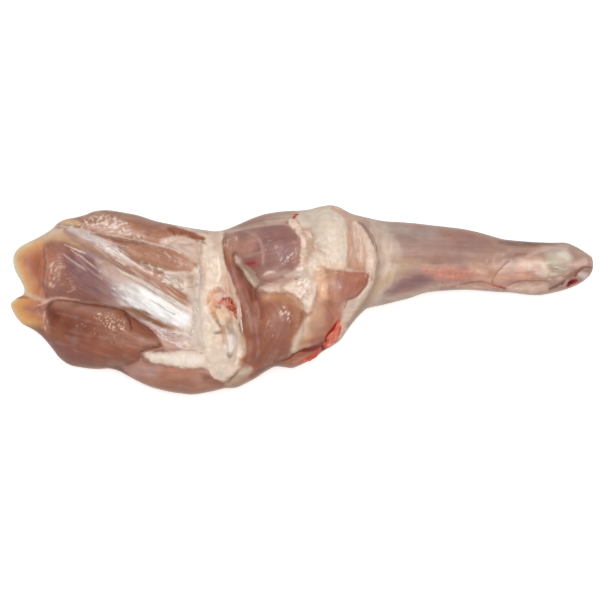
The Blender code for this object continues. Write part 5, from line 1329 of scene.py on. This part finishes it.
def roughened(tree, mesh, size, amount):
    # pushes each point about by noise, so that nothing repeated looks turned on a lathe
    wobble = addNode(tree, "ShaderNodeTexNoise", {"Scale": size, "Detail": 2.0})
    centred = addNode(tree, "ShaderNodeVectorMath", {0: wobble.outputs["Color"], 1: (0.5, 0.5, 0.5)},
                      operation="SUBTRACT")
    shift = addNode(tree, "ShaderNodeVectorMath", {0: centred, "Scale": amount}, operation="SCALE")
    return addNode(tree, "GeometryNodeSetPosition", {"Geometry": mesh, "Offset": shift}).outputs[0]


def threadTree():
    # each line becomes a thread as thick as its thickness says
    tree, given, keys = newTree("threads", {"Sides": "NodeSocketInt", "Wobble": "NodeSocketFloat",
                                            "Material": "NodeSocketMaterial"})
    curves = addNode(tree, "GeometryNodeMeshToCurve", {"Mesh": given["Geometry"]})
    thickness = addNode(tree, "GeometryNodeInputNamedAttribute", {"Name": "thickness"}, data_type="FLOAT")
    ring = addNode(tree, "GeometryNodeCurvePrimitiveCircle", {"Resolution": given["Sides"], "Radius": 1.0})
    tube = addNode(tree, "GeometryNodeCurveToMesh",
                   {"Curve": curves, "Profile Curve": ring, "Scale": thickness, "Fill Caps": True})
    bent = roughened(tree, tube.outputs[0], 1 / 0.0012, given["Wobble"])
    smooth = addNode(tree, "GeometryNodeSetShadeSmooth", {"Geometry": bent})
    made = addNode(tree, "GeometryNodeSetMaterial", {"Geometry": smooth, "Material": given["Material"]})
    whole = addNode(tree, "GeometryNodeRealizeInstances", {"Geometry": made})
    addNode(tree, "NodeGroupOutput", {"Geometry": whole})
    return tree, keys


def crumbTree():
    # small lumps scattered over the surface where the density says, each turned, squashed and roughened
    numbers = dict.fromkeys(("Density", "Smallest", "Largest", "Wobble"), "NodeSocketFloat")
    tree, given, keys = newTree("crumbs", {**numbers, "Seed": "NodeSocketInt",
                                           "Material": "NodeSocketMaterial"})
    where = addNode(tree, "GeometryNodeInputNamedAttribute", {"Name": "crumbs"}, data_type="FLOAT")
    density = addNode(tree, "ShaderNodeMath", {0: where.outputs["Attribute"], 1: given["Density"]},
                      operation="MULTIPLY")
    spread = addNode(tree, "GeometryNodeDistributePointsOnFaces",
                     {"Mesh": given["Geometry"], "Density": density, "Seed": given["Seed"]})
    lump = addNode(tree, "GeometryNodeMeshUVSphere", {"Segments": 8, "Rings": 5, "Radius": 1.0})
    chance = addNode(tree, "FunctionNodeRandomValue", {2: 0.0, 3: 1.0, "Seed": 3}, data_type="FLOAT")
    few = addNode(tree, "ShaderNodeMath", {0: chance.outputs[1], 1: 2.2}, operation="POWER")
    size = addNode(tree, "ShaderNodeMapRange",
                   {"Value": few, "To Min": given["Smallest"], "To Max": given["Largest"]})
    squash = addNode(tree, "FunctionNodeRandomValue",
                     {"Min": (0.6, 0.7, 0.2), "Max": (1.5, 1.2, 0.45), "Seed": 5}, data_type="FLOAT_VECTOR")
    scale = addNode(tree, "ShaderNodeVectorMath", {0: squash.outputs["Value"], "Scale": size},
                    operation="SCALE")
    placed = addNode(tree, "GeometryNodeInstanceOnPoints",
                     {"Points": spread.outputs["Points"], "Instance": lump.outputs["Mesh"],
                      "Rotation": spread.outputs["Rotation"], "Scale": scale})
    tone = addNode(tree, "FunctionNodeRandomValue", {2: 0.0, 3: 1.0, "Seed": 9}, data_type="FLOAT")
    toned = addNode(tree, "GeometryNodeStoreNamedAttribute",
                    {"Geometry": placed, "Name": "tone", "Value": tone.outputs[1]},
                    data_type="FLOAT", domain="INSTANCE")
    whole = addNode(tree, "GeometryNodeRealizeInstances", {"Geometry": toned})
    bent = roughened(tree, whole.outputs[0], 1 / 0.0018, given["Wobble"])
    smooth = addNode(tree, "GeometryNodeSetShadeSmooth", {"Geometry": bent})
    made = addNode(tree, "GeometryNodeSetMaterial", {"Geometry": smooth, "Material": given["Material"]})
    addNode(tree, "NodeGroupOutput", {"Geometry": made})
    return tree, keys


def grow(name, mesh, tree, keys, values):
    # runs the tree over the mesh and keeps the result as a plain piece of the shoulder
    guide = addObject("guide", mesh)
    modifier = guide.modifiers.new("grow", "NODES")
    modifier.node_group = tree
    for label, value in values.items():
        modifier[keys[label]] = value
    view = bpy.context.evaluated_depsgraph_get()
    made = bpy.data.meshes.new_from_object(guide.evaluated_get(view), depsgraph=view)
    bpy.data.objects.remove(guide)
    made.name = name
    piece = addObject(name, made)
    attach(piece, "root")
    print(name, len(made.polygons), "faces")


def addThreads(mesh):
    corners = [tuple(face.vertices) for face in mesh.polygons]
    surface = BVHTree.FromPolygons([v.co for v in mesh.vertices], corners)
    tree, keys = threadTree()
    for name, (finish, sizes, seed, fields) in threads.items():
        grow(name, threadMesh(fields, surface, seed), tree, keys, {**sizes, "Material": finish()})


# Where crumbs of fat and clots of blood lie, as routes with half widths; crumbs to the square metre
# and their sizes in metres
crumbs = {
    "fat_crumbs": (wetFat, dict(Density=0.12e6, Smallest=0.0006, Largest=0.0018, Wobble=0.0012, Seed=4), [
        [(1.4, 15, 2.4), (1.4, 10, 4), (2.4, 3, 3)],
        [(-66, -22, 2), (-64, -10, 1.4), (-63, 4, 1.4)],
    ]),
    "blood_clots": (wetClots, dict(Density=0.3e6, Smallest=0.0002, Largest=0.0008, Wobble=0.0007, Seed=7), [
        [(-45.4, 0.6, 0.6), (-42.8, -0.6, 0.8), (-41, -4.6, 0.6), (-38.8, -9.6, 0.8)],
        [(16.9, -21, 0.8), (14.2, -28.2, 0.8), (14.2, -30.2, 1)],
    ]),
}


def addCrumbs(shoulder):
    places = np.empty(3 * len(shoulder.vertices))
    shoulder.vertices.foreach_get("co", places)
    x, y, z = places.reshape(-1, 3).T / mm
    tree, keys = crumbTree()
    for name, (finish, sizes, routes) in crumbs.items():
        amount = np.zeros(len(x))
        for route in routes:
            line = smoothLine(route, 4 * len(route))
            gap, place = nearLine(x, y, line)[:2]
            amount = np.maximum(amount, ease(0.5 + (valueAt(line, place, 2) - gap) / 2))
        amount[z < 12] = 0  # none on the underside
        mesh = shoulder.copy()
        store(mesh, "crumbs", amount)
        grow(name, mesh, tree, keys, {**sizes, "Material": finish()})


# A white table, soft lamps overhead and a camera straight above, as in the photograph
studio = {
    "cameraHeight": 1.3,
    "cameraShift": -0.0006,     # the photo's middle is this far from the part's
    "frameWidth": 0.3686,       # what the frame shows at the height of the outline
    "rimHeight": 0.018,
    "sensor": 36.0,
    "world": 0.49,              # strength of the light from all round
    "lampColour": (1.0, 0.98, 0.955),
    "table": 3,                 # half its side
    "tableTop": -0.0004,
}
tableFinish = {
    "Base Color": (*linearColour("#FAFAF9"), 1),
    "Roughness": 0.9,
    "Emission Color": (1, 1, 1, 1),
    "Emission Strength": 0.3,
}
lamps = [  # place, size, watts
    ((-0.22, 0.30, 1.2), 0.5, 3.2),
    ((0.30, 0.20, 1.2), 0.5, 2.2),
    ((0.05, -0.24, 1.3), 0.5, 2.8),
    ((-0.03, 0.06, 1.5), 0.16, 2.8),
]


def addStudio():
    scene = bpy.context.scene
    floorMesh = bpy.data.meshes.new("table")
    corners = [(sx * studio["table"], sy * studio["table"], studio["tableTop"])
               for sx, sy in ((-1, -1), (1, -1), (1, 1), (-1, 1))]
    floorMesh.from_pydata(corners, [], [(0, 1, 2, 3)])
    floor = addObject("table", floorMesh)
    paper = bpy.data.materials.new("lightTable")
    paper.use_nodes = True
    setInputs(paper.node_tree, paper.node_tree.nodes["Principled BSDF"], tableFinish)
    floorMesh.materials.append(paper)
    floor.visible_glossy = False  # the white table would otherwise wash out the wet sides

    world = bpy.data.worlds.new("studioWorld")
    world.use_nodes = True
    setInputs(world.node_tree, world.node_tree.nodes["Background"],
              {"Color": (1, 1, 1, 1), "Strength": studio["world"]})
    scene.world = world
    for k, (spot, size, watts) in enumerate(lamps):
        lamp = bpy.data.lights.new(f"softbox{k}", "AREA")
        lamp.size, lamp.energy, lamp.color = size, watts, studio["lampColour"]
        holder = addObject(f"softbox{k}", lamp)
        holder.location = spot
        holder.rotation_euler = (-Vector(spot)).to_track_quat("-Z", "Y").to_euler()
        holder.visible_camera = False

    camera = bpy.data.cameras.new("camera")
    camera.sensor_width = studio["sensor"]
    camera.lens = studio["sensor"] * (studio["cameraHeight"] - studio["rimHeight"]) / studio["frameWidth"]
    scene.camera = addObject("camera", camera)
    scene.camera.location = (studio["cameraShift"], 0, studio["cameraHeight"])
    scene.view_settings.view_transform = "Standard"
    print("studio with", len(lamps), "lamps")


meat = addShoulder()
addThreads(meat)
addCrumbs(meat)
addStudio()
